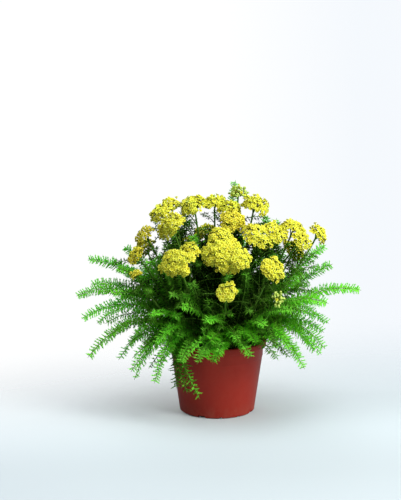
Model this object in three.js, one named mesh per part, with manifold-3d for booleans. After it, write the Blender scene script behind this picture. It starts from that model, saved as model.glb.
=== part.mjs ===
// A yarrow in bloom in a plastic nursery pot: the pot, its compost, the basal tufts of feathery fronds,
// the leafy flowering stems and, on each stem, a domed flower head packed with small yellow florets.
//
// Millimetres, +Z up. The origin is on the pot's axis, in the plane that the pot stands on. +X is to the
// plant's right and -Y is its front, so the far side of the plant is at +Y.
//
// How the plant is laid out: every stem and frond leaves the compost along a line from one point deep in
// the pot, so that they fan out without crossing. A leaf that would still come too near another piece is
// swung a little further, by seeded draws, until it is clear. For that test each stem, leaf and flower
// head is a chain of balls, and two pieces are clear where no ball of one reaches a ball of the other.
import * as THREE from "three";
import { mergeVertices } from "three/addons/utils/BufferGeometryUtils.js";
import Module from "manifold-3d";

const wasm = await Module();
wasm.setup();

// ---------------------------------------------------------------------------------------- dimensions

const POT = {
  height: 104,
  rimRadius: 70,
  rimHeight: 9,
  collarRadius: 66, // just under the rim
  shoulderRadius: 64.5,
  shoulderZ: 80, // the stacking shoulder, where the taper ends
  shoulderStep: [0.6, 1], // out and up
  footRadius: 53,
  footBevel: 2,
  wall: 1.8,
  baseZ: 3, // underside of the raised base plate
  baseThick: 2.2,
  ringWidth: 6, // the foot ring that stands on the surface
  bossRadius: 13, // the pad in the middle that stands on the surface too
  sides: 24,
};
const NOTCHES = [
  { count: 4, first: -25, width: 11, height: 3.6 }, // wide drain notches through the foot ring
  { count: 4, first: 5, width: 4, height: 2.4 },
  { count: 4, first: 35, width: 4, height: 2.4 },
];
const FIT = 0.35; // clearance between pieces that touch
const SOIL = {
  top: 92,
  relief: 1, // height of its low waves
  highest: 1.6, // a leaf keeps this far above its level
  waves: [0.21, 0.17], // radians a millimetre, along X and Y
};
const FAN = {
  depth: 55, // under the compost's surface, of the point that the plant's stems fan out from
  upright: 1.35, // how much steeper than the fan the stems leave the compost
};

const STEM = {
  footRadius: 1.9,
  neckRadius: 1.3,
  sides: 4,
  steps: 4,
  sunk: 11, // length in the compost
  holeRadius: 2.55,
  stalkGap: 2.6, // from the end of a stalk to the lobe over it
  branchAt: 0.55, // where along the stem the branch to a head's further lobe leaves it
  stalkRadii: [1, 0.8], // the stalks that carry a flower head
  stalkBall: 1.2,
  stalkless: 17.5, // a lobe up to this radius sits on its stem with no stalks
  fork: 0.7, // how far below a lobe its stalks leave the stem, as a share of the lobe's radius
  approach: 0.8, // how far a stem comes to a lobe from below rather than square to it
  firmness: 0.36, // how far a stem keeps its first and last direction, as a share of its length
  branchFirmness: 0.45,
};
const CROWN = {
  radius: 4.6,
  topRadius: 3.4,
  rootShare: 0.65, // how far out its fronds start, as a share of its top radius
  rootDepth: 0.7, // how far below its top the highest of them start
  stagger: 1.7, // its fronds start at three heights, this far apart
  sides: 5,
  above: 6,
  sunk: 9,
  holeRadius: 5.15,
};
const LEAF = {
  section: [[-0.8, 0.4], [0.8, 0.4], [0, -0.9]], // its rib's left, right and keel: sideways, up
  taper: 0.45, // how much slimmer the rib is at the leaf's tip
  overshoot: 0.35, // how far the rib's tip reaches past its curve, as a share of the leaf's width
  ribBall: 1.9,
  leafletBalls: [[0.42, 2.4], [0.75, 1.5], [1, 0.6]], // share of the leaflet's length, radius
  tiltUp: 0.62, // radians: leaflets tip up and down in turn
  tiltDown: 0.4,
  sweep: 0.35, // how far a leaflet leans towards the leaf's tip, as a share of its own length
};
// bare is the share of a leaf that has no leaflets, and joined the reach from its root in which it may
// touch its own node.
const FROND = { width: 10.5, bare: 0.2, pairs: 10, joined: 50 };
const STEM_LEAF = {
  width: 10,
  bare: 0.1,
  pairs: 5,
  joined: 9,
  length: 72,
  shorter: 0.16, // how much shorter the second leaf is, as a share
  turn: 2.4, // radians round the stem from one leaf to the next
  open: 0.95, // radians between the leaf and the stem
  droop: 0.16, // how far its tip sinks, as a share of its length
};
const STEM_LEAF_PLACES = [0.3, 0.56]; // along the stem; a stem with a small head has the first leaf alone
const SMALL_HEAD = 13.5; // radius
// A lobe's outline is a circle with two waves of these heights on it, and its underside a low cone.
// Its balls' radii are shares of the florets' spacing.
const LOBE = { mean: 0.97, waves: [0.09, 0.07], cone: 0.14, edge: 0.36, turn: 0.12, balls: [0.62, 0.3] };
// A flower head's florets: their spacing, how far out and how high their petals reach and how deep they
// are dished, the last three as shares of the spacing or the height.
const FLORET = { pitch: 12.8, least: 7, perRadius: 0.7, tip: 0.44, rise: 0.36, dish: 0.75, unevenness: 0.15 };
// How leaves find room: the gap they keep, the spacing of their balls, how many tries they have, and how
// far the last try may swing a frond's tip, its lift and its sideways arch.
const CLEAR = { gap: 0.5, step: 4, tries: 60, floor: 4, rim: 0.7, crown: 2, tip: 34, lift: 20.4, arch: 13.6 };

// Flowering stems. Each lobe of a head is [x, y, z of the dome's top, radius, lean from upright in
// degrees, half-angle of the dome in radians]. Lobes of one head grow into each other.
const STEMS = [
  { name: "left_high", lobes: [[-82, 8, 290, 17, 34, 0.85], [-67, 20, 299, 10, 20, 0.9]] },
  { name: "left_top", lobes: [[-36, 0, 305, 18, 16, 1.0]] },
  { name: "left_inner", lobes: [[-70, -36, 279, 21, 40, 0.85]] },
  { name: "left_side", lobes: [[-106, -16, 257, 15, 52, 0.85]] },
  { name: "left_low", lobes: [[-117, -37, 233, 13, 60, 0.9]] },
  { name: "left_bud", lobes: [[-116, -62, 209, 8, 55, 1.0]] },
  { name: "front_left", lobes: [[-61, -92, 236, 23, 52, 1.1], [-40, -79, 249, 12, 42, 1.1]] },
  { name: "front_middle", lobes: [[8, -84, 247, 28, 50, 1.15], [33, -95, 238, 14, 62, 1.1]] },
  { name: "front_low", lobes: [[11, -112, 196, 13, 62, 1.1]] },
  { name: "front_right", lobes: [[77, -88, 225, 16, 52, 1.0]] },
  { name: "top_middle", lobes: [[-4, 18, 303, 14, 6, 0.8], [19, 14, 296, 15, 14, 0.8]] },
  { name: "top_front", lobes: [[24, -27, 285, 18, 26, 0.85]] },
  { name: "top_right", lobes: [[55, 4, 303, 17, 18, 1.0]] },
  { name: "summit_bud", lobes: [[31, 36, 316, 11, 10, 1.1]] },
  { name: "right_front", lobes: [[60, -50, 268, 22, 34, 0.85], [84, -36, 267, 17, 40, 0.85]] },
  { name: "right_inner", lobes: [[112, -10, 269, 18, 36, 1.0], [121, -32, 255, 16, 54, 1.0]] },
  { name: "right_side", lobes: [[147, 4, 258, 14, 46, 0.9]] },
  { name: "right_bud", lobes: [[83, -106, 184, 9, 60, 1.0]] },
  { name: "back_left_side", lobes: [[-108, 62, 226, 16, 52, 0.9]] },
  { name: "back_left", lobes: [[-52, 104, 222, 19, 52, 0.9]] },
  { name: "back_middle", lobes: [[12, 116, 228, 20, 48, 0.9]] },
  { name: "back_inner", lobes: [[-16, 66, 252, 17, 26, 0.9]] },
  { name: "back_right", lobes: [[66, 98, 226, 18, 50, 0.9]] },
  { name: "back_right_side", lobes: [[116, 66, 222, 17, 52, 0.9]] },
];

// Basal tufts. Each frond is [tip x, y, z, lift, swing, roll]: lift and swing move the middle of its arch
// up and to the side of the straight line from crown to tip, and roll turns the blade, in degrees.
const TUFTS = [
  {
    name: "left",
    crown: [-38, 2],
    fronds: [
      [-179, -8, 220, 66, 6, 55],
      [-197, 2, 166, 74, -8, -50],
      [-140, 18, 70, 74, 0, 20],
      [-131, 40, 228, 34, -14, 40],
      [-172, -32, 193, 62, 4, 60],
    ],
  },
  {
    name: "left_front",
    crown: [-39, -31],
    fronds: [
      [-186, -44, 144, 78, -4, 62],
      [-178, -62, 94, 92, 0, -40],
      [-114, -74, 66, 92, 4, 30],
      [-86, -92, 66, 84, 6, -25],
    ],
  },
  {
    name: "front_left",
    crown: [-21, -36],
    fronds: [
      [-40, -92, 50, 80, -60, 20],
      [-50, -100, 96, 52, 10, -15],
      [-48, -92, 186, 40, 24, 30],
      [-84, -104, 122, 66, 8, 25],
    ],
  },
  {
    name: "front",
    crown: [14, -46],
    fronds: [
      [-6, -100, 96, 44, 8, 5],
      [-20, -102, 108, 50, 12, -10],
      [44, -98, 104, 42, -8, 10],
      [26, -112, 130, 40, -12, -20],
      [-20, -118, 156, 40, 10, 18],
    ],
  },
  {
    name: "right_front",
    crown: [36, -34],
    fronds: [
      [120, -56, 76, 80, -10, 30],
      [146, -40, 124, 62, 8, -45],
      [150, -56, 168, 66, -8, 55],
      [98, -92, 110, 66, -2, -25],
      [62, -112, 150, 44, -14, 22],
    ],
  },
  {
    name: "right",
    crown: [50, -8],
    fronds: [
      [200, -8, 176, 62, -4, 55],
      [160, 2, 210, 44, 4, -55],
      [153, 30, 232, 40, 6, 40],
      [158, 24, 122, 62, 8, -30],
      [136, 50, 84, 84, 14, 25],
    ],
  },
  {
    name: "back_right",
    crown: [30, 38],
    fronds: [
      [128, 96, 172, 64, 0, 30],
      [150, 78, 120, 70, -8, -30],
      [96, 126, 92, 88, -4, 20],
      [78, 112, 190, 46, 6, -25],
      [72, 62, 268, 30, 4, 35],
    ],
  },
  {
    name: "back",
    crown: [-9, 43],
    fronds: [
      [8, 170, 150, 74, 4, 25],
      [-34, 158, 104, 86, 6, 15],
      [-24, 136, 194, 54, 4, -30],
      [26, 56, 320, 10, 0, 30],
    ],
  },
  {
    name: "back_left",
    crown: [-29, 27],
    fronds: [
      [-118, 104, 170, 64, 0, 30],
      [-172, 50, 116, 80, -4, -35],
      [-126, 98, 74, 92, -6, -25],
      [-150, 76, 134, 80, 6, 25],
      [-84, 100, 206, 44, -6, 30],
    ],
  },
];

// ------------------------------------------------------------------------------------------ helpers

const DEGREE = Math.PI / 180;
const SIXTH = Math.PI / 3;
const UP = new THREE.Vector3(0, 0, 1);
const vec = (x, y, z) => new THREE.Vector3(x, y, z);
const mix = (a, b, t) => a.clone().lerp(b, t);
const onCircle = (radius, angle) => [radius * Math.cos(angle), radius * Math.sin(angle)];

// A seeded stream of numbers from 0 to 1.
function stream(seed) {
  let state = (seed * 7919 + 101) % 2147483647;
  const next = () => {
    state = (state * 16807) % 2147483647;
    return state / 2147483647;
  };
  next();
  next();
  return next;
}

const signed = (next, amount) => (2 * next() - 1) * amount;

// Point and direction on a cubic Bezier curve.
function onCurve([a, b, c, d], t) {
  const s = 1 - t;
  const point = a
    .clone()
    .multiplyScalar(s * s * s)
    .addScaledVector(b, 3 * s * s * t)
    .addScaledVector(c, 3 * s * t * t)
    .addScaledVector(d, t * t * t);
  const along = b
    .clone()
    .sub(a)
    .multiplyScalar(s * s)
    .addScaledVector(c.clone().sub(b), 2 * s * t)
    .addScaledVector(d.clone().sub(c), t * t)
    .normalize();
  return { point, along };
}

// The cubic curve that equals the quadratic one with this single control point.
const arch = (start, control, end) => [start, mix(start, control, 2 / 3), mix(end, control, 2 / 3), end];

// Balls of one radius along a curve, no further apart than CLEAR.step.
function ballsAlong(curve, radius) {
  const [a, b, c, d] = curve;
  const count = Math.ceil((a.distanceTo(b) + b.distanceTo(c) + c.distanceTo(d)) / CLEAR.step);
  const balls = [];
  for (let i = 0; i <= count; i += 1) balls.push({ at: onCurve(curve, i / count).point, radius });
  return balls;
}

// A closed mesh as a manifold solid, from its coordinates and the corners of its triangles.
function solid(coordinates, corners) {
  const vertProperties = new Float32Array(coordinates);
  const triVerts = new Uint32Array(corners);
  return new wasm.Manifold(new wasm.Mesh({ numProp: 3, vertProperties, triVerts }));
}

function solidFrom(points, triangles) {
  return solid(
    points.flatMap((point) => point.toArray()),
    triangles,
  );
}

function solidOf(geometry) {
  const bare = geometry.clone();
  bare.deleteAttribute("normal");
  bare.deleteAttribute("uv");
  const merged = mergeVertices(bare, 1e-3);
  return solid(merged.attributes.position.array, merged.index.array);
}

// All the solids joined into one body. Scraps that hold to nothing are dropped.
function fuse(solids) {
  const bodies = wasm.Manifold.union(solids).decompose();
  return bodies.reduce((best, body) => (body.volume() > best.volume() ? body : best));
}

function geometryOf(body) {
  const mesh = body.getMesh();
  return new THREE.BufferGeometry()
    .setAttribute("position", new THREE.BufferAttribute(new Float32Array(mesh.vertProperties), 3))
    .setIndex(new THREE.BufferAttribute(new Uint32Array(mesh.triVerts), 1));
}

// Rings of points round a line of stations, each with a point, a direction and a radius. Capped at its ends.
function tube(stations, sides) {
  const points = [];
  const triangles = [];
  for (const { point, along, radius } of stations) {
    const u = vec(0.31, 0.95, 0.07).projectOnPlane(along).normalize();
    const v = along.clone().cross(u);
    for (let k = 0; k < sides; k += 1) {
      const [x, y] = onCircle(radius, (2 * Math.PI * k) / sides);
      points.push(point.clone().addScaledVector(u, x).addScaledVector(v, y));
    }
  }
  const last = (stations.length - 1) * sides;
  for (let row = 0; row < last; row += sides)
    for (let k = 0; k < sides; k += 1) {
      const a = row + k;
      const b = row + ((k + 1) % sides);
      triangles.push(a, b, b + sides, a, b + sides, a + sides);
    }
  for (let k = 1; k < sides - 1; k += 1) triangles.push(0, k + 1, k, last, last + k, last + k + 1);
  return solidFrom(points, triangles);
}

// Stations along a curve, with a radius that changes evenly from one end to the other.
function stationsOn(curve, radii, steps) {
  const stations = [];
  for (let i = 0; i <= steps; i += 1)
    stations.push({ ...onCurve(curve, i / steps), radius: radii[0] + ((radii[1] - radii[0]) * i) / steps });
  return stations;
}

// A straight rod.
function rod(from, to, radii, sides) {
  const along = to.clone().sub(from).normalize();
  return tube([{ point: from, along, radius: radii[0] }, { point: to, along, radius: radii[1] }], sides);
}

// ------------------------------------------------------------------------------------ room for pieces

const placed = []; // every ball placed so far: { at, radius, node }

function keep(balls, node) {
  for (const ball of balls) placed.push({ ...ball, node });
}

// The pot and the compost take up room too. A ball is clear above the rim, outside it or inside it.
function clearOfPot({ at, radius }) {
  const out = Math.hypot(at.x, at.y);
  const lowest = at.z - radius;
  if (lowest > POT.height + CLEAR.gap) return true;
  if (out > POT.rimRadius + radius + CLEAR.gap) return lowest > CLEAR.floor;
  return out < innerRadius(POT.height) - CLEAR.rim - radius && lowest > SOIL.top + SOIL.highest;
}

// A leaf's balls near its root may reach into its own node, and no other balls may.
function isClear({ balls, root }, node, joined) {
  const inCrown = (ball) => ball.at.distanceTo(root) < CROWN.radius + CLEAR.crown;
  if (!balls.every((ball) => inCrown(ball) || clearOfPot(ball))) return false;
  return balls.every((ball) => {
    const nearRoot = ball.at.distanceTo(root) < joined;
    return placed.every(
      (other) =>
        (nearRoot && other.node === node) ||
        ball.at.distanceToSquared(other.at) >= (ball.radius + other.radius + CLEAR.gap) ** 2,
    );
  });
}

// The first of a leaf's positions that is clear of all other pieces, or null. Each try swings further.
function settle(make, node, joined) {
  for (let attempt = 0; attempt < CLEAR.tries; attempt += 1) {
    const leaf = make(attempt / CLEAR.tries);
    if (isClear(leaf, node, joined)) {
      keep(leaf.balls, node);
      return leaf;
    }
  }
  return null;
}

// --------------------------------------------------------------------------------------------- leaves

// Length of the leaflets at x, from 0 at the first pair to 1 at the leaf's tip, as a share of the longest.
const leafletShare = (x) => Math.sin(Math.PI * (0.17 + 0.72 * x)) ** 0.8;

// Where along a leaf's curve, from 0 to 1, a pair of leaflets starts.
const placeOf = (kind, pair) => kind.bare + ((1 - kind.bare) * pair) / kind.pairs;

// A feathery leaf on a planar curve: where it lies, the tips of its leaflets, two and two, and its balls.
function layLeaf(curve, kind, width, roll) {
  const flat = curve[1].clone().sub(curve[0]).cross(curve[3].clone().sub(curve[0])).normalize();
  const frameAt = (t) => {
    const { point, along } = onCurve(curve, t);
    const side = flat.clone().applyAxisAngle(along, roll * DEGREE);
    return { point, along, side, up: side.clone().cross(along) };
  };
  const balls = ballsAlong(curve, LEAF.ribBall);
  const tips = [];
  for (let pair = 0; pair < kind.pairs; pair += 1) {
    const { point, along, side, up } = frameAt(placeOf(kind, pair + 0.5));
    const reach = width * leafletShare((pair + 0.5) / kind.pairs);
    const tilt = pair % 2 ? -LEAF.tiltDown : LEAF.tiltUp;
    for (const hand of [-1, 1]) {
      const tip = point
        .clone()
        .addScaledVector(side, hand * reach * Math.cos(tilt))
        .addScaledVector(up, reach * Math.sin(tilt))
        .addScaledVector(along, reach * LEAF.sweep);
      tips.push(tip);
      for (const [share, radius] of LEAF.leafletBalls) balls.push({ at: mix(point, tip, share), radius });
    }
  }
  return { kind, width, root: curve[0], frameAt, tips, balls };
}

// The leaf as one thin blade: a rib with a keel below, bare at first, with leaflets cut to the rib that tip
// up and down in turn. Each station along the rib has three corners: left, right and keel.
function leafSolid({ kind, width, frameAt, tips }) {
  const points = [];
  const triangles = [];
  const stations = kind.pairs + 1;
  for (let i = 0; i <= stations; i += 1) {
    const place = i ? placeOf(kind, i - 1) : 0;
    const { point, side, up } = frameAt(place);
    const narrow = 1 - LEAF.taper * place;
    for (const [across, above] of LEAF.section)
      points.push(point.clone().addScaledVector(side, across * narrow).addScaledVector(up, above * narrow));
  }
  const firstTip = points.length;
  points.push(...tips);
  triangles.push(0, 2, 1);
  for (let i = 0; i < stations; i += 1) {
    const [left, right, keel] = [3 * i, 3 * i + 1, 3 * i + 2];
    const [nextLeft, nextRight, nextKeel] = [left + 3, right + 3, keel + 3];
    triangles.push(left, right, nextRight, left, nextRight, nextLeft);
    if (i === 0) {
      triangles.push(right, keel, nextKeel, right, nextKeel, nextRight);
      triangles.push(keel, left, nextLeft, keel, nextLeft, nextKeel);
      continue;
    }
    const near = firstTip + 2 * (i - 1);
    const far = near + 1;
    triangles.push(left, nextLeft, near, nextLeft, nextKeel, near, nextKeel, keel, near, keel, left, near);
    triangles.push(nextRight, right, far, right, keel, far, keel, nextKeel, far, nextKeel, nextRight, far);
  }
  const end = frameAt(1);
  points.push(end.point.clone().addScaledVector(end.along, width * LEAF.overshoot));
  const last = 3 * stations;
  for (let k = 0; k < 3; k += 1) triangles.push(last + k, last + ((k + 1) % 3), points.length - 1);
  return solidFrom(points, triangles);
}

// ----------------------------------------------------------------------------------------------- pot

// Radius of the pot's outside below the shoulder, and of its inside.
const outerRadius = (z) => POT.footRadius + ((POT.shoulderRadius - POT.footRadius) * z) / POT.shoulderZ;
function innerRadius(z) {
  const rise = Math.max(0, z - POT.shoulderZ) / (POT.height - POT.shoulderZ);
  return outerRadius(Math.min(z, POT.shoulderZ)) - POT.wall + rise * (POT.collarRadius - POT.shoulderRadius);
}

function potSolid() {
  const { height, rimRadius, collarRadius, shoulderZ, shoulderRadius, footRadius, footBevel } = POT;
  const [stepOut, stepUp] = POT.shoulderStep;
  const underRim = height - POT.rimHeight;
  const ringInside = footRadius - POT.ringWidth;
  const floor = POT.baseZ + POT.baseThick;
  const outline = [
    [0, 0],
    [POT.bossRadius, 0],
    [POT.bossRadius, POT.baseZ],
    [ringInside, POT.baseZ],
    [ringInside, 0],
    [footRadius - footBevel, 0],
    [outerRadius(footBevel), footBevel],
    [shoulderRadius, shoulderZ],
    [shoulderRadius + stepOut, shoulderZ + stepUp],
    [collarRadius, underRim],
    [rimRadius, underRim],
    [rimRadius, height],
    [innerRadius(height), height],
    [innerRadius(shoulderZ), shoulderZ],
    [innerRadius(floor), floor],
    [0, floor],
  ];
  const turned = new THREE.LatheGeometry(
    outline.map(([r, z]) => new THREE.Vector2(r, z)),
    POT.sides,
    -Math.PI / 2,
  ).rotateX(Math.PI / 2);
  let pot = solidOf(turned);
  for (const { count, first, width, height: notchHeight } of NOTCHES)
    for (let k = 0; k < count; k += 1) {
      const cutter = new THREE.BoxGeometry(4 * POT.ringWidth, width, notchHeight * 2)
        .translate(footRadius, 0, 0)
        .rotateZ((first - 90 + (360 / count) * k) * DEGREE);
      pot = pot.subtract(solidOf(cutter));
    }
  return pot;
}

// ------------------------------------------------------------------------------------------- compost

// Height of the compost's surface.
function soilHeight(x, y) {
  const wave = Math.sin(x * SOIL.waves[0] + 1) * Math.cos(y * SOIL.waves[1]);
  return SOIL.top + SOIL.relief * (wave - 0.4);
}

// It has as many sides as the pot, corner to corner, so that it fits the pot's wall all round.
function soilSolid(holes) {
  const low = POT.baseZ + POT.baseThick + FIT;
  const edge = innerRadius(SOIL.top) - FIT;
  const points = [];
  const triangles = [];
  const ring = (radius, heightAt) => {
    for (let k = 0; k < POT.sides; k += 1) {
      const [x, y] = onCircle(radius, (2 * Math.PI * k) / POT.sides);
      points.push(vec(x, y, heightAt(x, y)));
    }
  };
  ring(innerRadius(low) - FIT, () => low);
  ring(innerRadius(POT.shoulderZ) - FIT, () => POT.shoulderZ);
  ring(edge, soilHeight);
  ring(edge * 0.5, soilHeight);
  const rings = points.length / POT.sides;
  points.push(vec(0, 0, low), vec(0, 0, soilHeight(0, 0)));
  for (let i = 0; i < rings; i += 1)
    for (let k = 0; k < POT.sides; k += 1) {
      const a = i * POT.sides + k;
      const b = i * POT.sides + ((k + 1) % POT.sides);
      if (i === 0) triangles.push(points.length - 2, b, a);
      if (i === rings - 1) triangles.push(points.length - 1, a, b);
      else triangles.push(a, b, b + POT.sides, a, b + POT.sides, a + POT.sides);
    }
  let body = solidFrom(points, triangles);
  for (const { from, to, radius, sides } of holes) {
    body = body.subtract(rod(from, to, [radius, radius], sides));
  }
  return body;
}

// ------------------------------------------------------------------------------------- flower heads

// One lobe: its dome is part of a sphere, and its outline is a wavy circle.
function layLobe([x, y, z, radius, lean, halfAngle], seed) {
  const next = stream(seed);
  const azimuth = Math.atan2(y, x) + signed(next, LOBE.turn);
  const tilt = lean * DEGREE;
  const normal = vec(...onCircle(Math.sin(tilt), azimuth), Math.cos(tilt));
  const across = UP.clone().cross(normal).normalize();
  const ahead = normal.clone().cross(across);
  const sphere = radius / Math.sin(halfAngle);
  const crown = vec(x, y, z);
  const middle = crown.clone().addScaledVector(normal, -sphere);
  const phases = [next() * 2 * Math.PI, next() * 2 * Math.PI];
  const pitch = Math.max(FLORET.least, Math.min(FLORET.pitch, radius * FLORET.perRadius));
  const apexDepth = sphere * (1 - Math.cos(halfAngle)) + radius * LOBE.cone;
  return {
    seed,
    radius,
    normal,
    across,
    ahead,
    sphere,
    halfAngle,
    middle,
    phases,
    pitch,
    crown,
    apex: crown.clone().addScaledVector(normal, -apexDepth),
  };
}

// The lobe's balls: one in each floret, and one between it and the low point underneath.
function lobeBalls(lobe) {
  const [inFloret, below] = LOBE.balls.map((share) => share * lobe.pitch);
  return lobeCells(lobe).flatMap(([u, v]) => {
    const at = onDome(lobe, u, v, 0);
    return [{ at, radius: inFloret }, { at: mix(lobe.apex, at, 0.3), radius: below }];
  });
}

// Point on the lobe's dome at arc lengths u and v from its crown, raised above the dome by lift.
function onDome(lobe, u, v, lift) {
  const arc = Math.hypot(u, v);
  const angle = arc / lobe.sphere;
  const flat = arc > 1e-9 ? Math.sin(angle) / arc : 0;
  return lobe.middle
    .clone()
    .addScaledVector(lobe.across, (lobe.sphere + lift) * flat * u)
    .addScaledVector(lobe.ahead, (lobe.sphere + lift) * flat * v)
    .addScaledVector(lobe.normal, (lobe.sphere + lift) * Math.cos(angle));
}

// How far along the dome the lobe reaches in a direction.
function lobeReach(lobe, angle) {
  const [two, three] = LOBE.waves;
  const wave = two * Math.sin(2 * angle + lobe.phases[0]) + three * Math.sin(3 * angle + lobe.phases[1]);
  return lobe.sphere * lobe.halfAngle * (LOBE.mean + wave);
}

// The florets' cells: a honeycomb laid over the dome.
function lobeCells(lobe) {
  const cells = [];
  const span = Math.ceil((lobe.sphere * lobe.halfAngle * 1.3) / lobe.pitch) + 1;
  for (let q = -span; q <= span; q += 1)
    for (let r = -span; r <= span; r += 1) {
      const u = lobe.pitch * (q + r / 2);
      const v = lobe.pitch * r * Math.sqrt(0.75);
      const reach = lobeReach(lobe, Math.atan2(v, u)) - LOBE.edge * lobe.pitch;
      if ((q === 0 && r === 0) || Math.hypot(u, v) < reach) cells.push([u, v]);
    }
  return cells;
}

// A lobe as one closed surface. Each cell is a six-petalled floret: the petals' tips stand up over the
// middles of the cell's sides, its corners are the notches between them, and its centre is dished. The
// cells' outer edges close to a low cone underneath.
function lobeSolid(lobe) {
  const next = stream(lobe.seed + 5000);
  const points = [];
  const triangles = [];
  const corners = new Map();
  const edges = new Map();
  const cornerAt = (u, v) => {
    const key = `${Math.round((u * 100) / lobe.pitch)},${Math.round((v * 100) / lobe.pitch)}`;
    if (!corners.has(key)) {
      corners.set(key, points.length);
      points.push(onDome(lobe, u, v, 0));
    }
    return corners.get(key);
  };
  for (const [u, v] of lobeCells(lobe)) {
    const base = [];
    const tips = [];
    const lift = lobe.pitch * FLORET.rise * (1 + signed(next, FLORET.unevenness));
    for (let k = 0; k < 6; k += 1) {
      const [x, y] = onCircle(lobe.pitch / Math.sqrt(3), (k - 0.5) * SIXTH);
      base.push(cornerAt(u + x, v + y));
    }
    for (let k = 0; k < 6; k += 1) {
      const [x, y] = onCircle(lobe.pitch * FLORET.tip, k * SIXTH);
      tips.push(points.length);
      points.push(onDome(lobe, u + x, v + y, lift));
    }
    const centre = points.length;
    points.push(onDome(lobe, u, v, lift * FLORET.dish));
    for (let k = 0; k < 6; k += 1) {
      const [corner, following, tip] = [base[k], base[(k + 1) % 6], tips[k]];
      triangles.push(corner, following, tip, corner, tip, centre, tip, following, centre);
      if (!edges.delete(`${following},${corner}`)) edges.set(`${corner},${following}`, [corner, following]);
    }
  }
  points.push(lobe.apex);
  for (const [a, b] of edges.values()) triangles.push(b, a, points.length - 1);
  return solidFrom(points, triangles);
}

// Stalks that spread from a stem's curve, below a lobe, to the lobe's underside and end just short of it.
function stalksOf(lobe, curve) {
  const start = onCurve(curve, 1 - (lobe.radius * STEM.fork) / curve[0].distanceTo(curve[3])).point;
  const stalks = [];
  const count = lobe.radius > STEM.stalkless ? 3 : 0;
  for (let k = 0; k < count; k += 1) {
    const angle = (2 * Math.PI * (k + 0.2)) / count;
    const edge = onDome(lobe, ...onCircle(lobeReach(lobe, angle) * 0.9, angle), 0);
    stalks.push([start, mix(lobe.apex, edge, 0.5).addScaledVector(lobe.normal, -STEM.stalkGap)]);
  }
  return stalks;
}

const stalkBalls = ([from, to]) => ballsAlong(arch(from, mix(from, to, 0.5), to), STEM.stalkBall);

// Whether the balls of what carries one lobe of a head stay clear of the head's other lobes.
function missesOthers(balls, own, lobes) {
  const others = lobes.filter((lobe) => lobe !== own).flatMap(lobeBalls);
  return balls.every(({ at, radius }) =>
    others.every((ball) => at.distanceTo(ball.at) > radius + ball.radius),
  );
}

// -------------------------------------------------------------------------------- the plant's layout

const heads = [];
const stems = [];
const tufts = [];

// Where the line from the fan's point to a place in the plant comes through the compost.
function footOf(place) {
  const share = FAN.depth / (FAN.depth + place.z - SOIL.top);
  return vec(place.x * share, place.y * share, SOIL.top);
}

// A stem's line: it leaves a point in one direction, and comes to a lobe's underside from below.
function stemCurve(from, leaving, lobe, firmness) {
  const end = lobe.apex.clone().addScaledVector(lobe.normal, -FIT);
  const reach = from.distanceTo(end) * firmness;
  const first = from.clone().addScaledVector(leaving, reach);
  const arriving = lobe.normal.clone().addScaledVector(UP, STEM.approach).normalize();
  return [from, first, end.clone().addScaledVector(arriving, -reach), end];
}

function layStems() {
  STEMS.forEach((row, index) => {
    const node = `stem_${row.name}`;
    const lobes = row.lobes.map((lobe, k) => layLobe(lobe, 40 + index * 3 + k));
    const foot = footOf(lobes[0].crown);
    const leaving = vec(foot.x, foot.y, FAN.depth * FAN.upright).normalize();
    const main = stemCurve(foot, leaving, lobes[0], STEM.firmness);
    const { point, along } = onCurve(main, STEM.branchAt);
    const curves = [main];
    const clearStalks = (lobe, curve) =>
      stalksOf(lobe, curve).filter((stalk) => missesOthers(stalkBalls(stalk), lobe, lobes));
    const stalks = clearStalks(lobes[0], main);
    for (const lobe of lobes.slice(1)) {
      // A lobe that its neighbour shields from below has grown out of that neighbour, with no branch.
      const branch = stemCurve(point, along, lobe, STEM.branchFirmness);
      if (!missesOthers(ballsAlong(branch, STEM.neckRadius), lobe, lobes)) continue;
      curves.push(branch);
      stalks.push(...clearStalks(lobe, branch));
    }
    for (const curve of curves) keep(ballsAlong(curve, STEM.footRadius + 0.3), node);
    for (const lobe of lobes) keep(lobeBalls(lobe), node);
    for (const stalk of stalks) keep(stalkBalls(stalk), node);
    stems.push({ node, index, foot, curves, lobes, stalks, leaves: [] });
    heads.push({ node: `flower_head_${row.name}`, lobes });
  });
}

// A frond from a crown to its tip. The tries swing its tip and its arch.
function frondMaker(crownTop, [x, y, z, lift, swing, roll], seed) {
  const next = stream(seed);
  return (spread) => {
    const shift = spread * CLEAR.tip;
    const tip = vec(x + signed(next, shift), y + signed(next, shift), z + signed(next, shift));
    const chord = tip.clone().sub(crownTop);
    const outward = vec(chord.x, chord.y, 0).normalize();
    const start = crownTop.clone().addScaledVector(outward, CROWN.topRadius * CROWN.rootShare);
    start.z -= CROWN.rootDepth + CROWN.stagger * (seed % 3);
    const control = mix(start, tip, 0.45);
    control.z += lift + signed(next, spread * CLEAR.lift);
    control.addScaledVector(vec(-outward.y, outward.x, 0), swing + signed(next, spread * CLEAR.arch));
    return layLeaf(arch(start, control, tip), FROND, FROND.width, roll);
  };
}

function layTufts() {
  TUFTS.forEach(({ name, crown, fronds }, index) => {
    const node = `leaf_tuft_${name}`;
    const top = vec(crown[0], crown[1], SOIL.top + CROWN.above);
    tufts.push({ node, top, leaves: [] });
    keep([{ at: top.clone().addScaledVector(UP, -CROWN.above / 2), radius: CROWN.radius }], node);
    fronds.forEach((row, k) => {
      const leaf = settle(frondMaker(top, row, 200 + index * 10 + k), node, FROND.joined);
      if (leaf) tufts[index].leaves.push(leaf);
    });
  });
}

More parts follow.
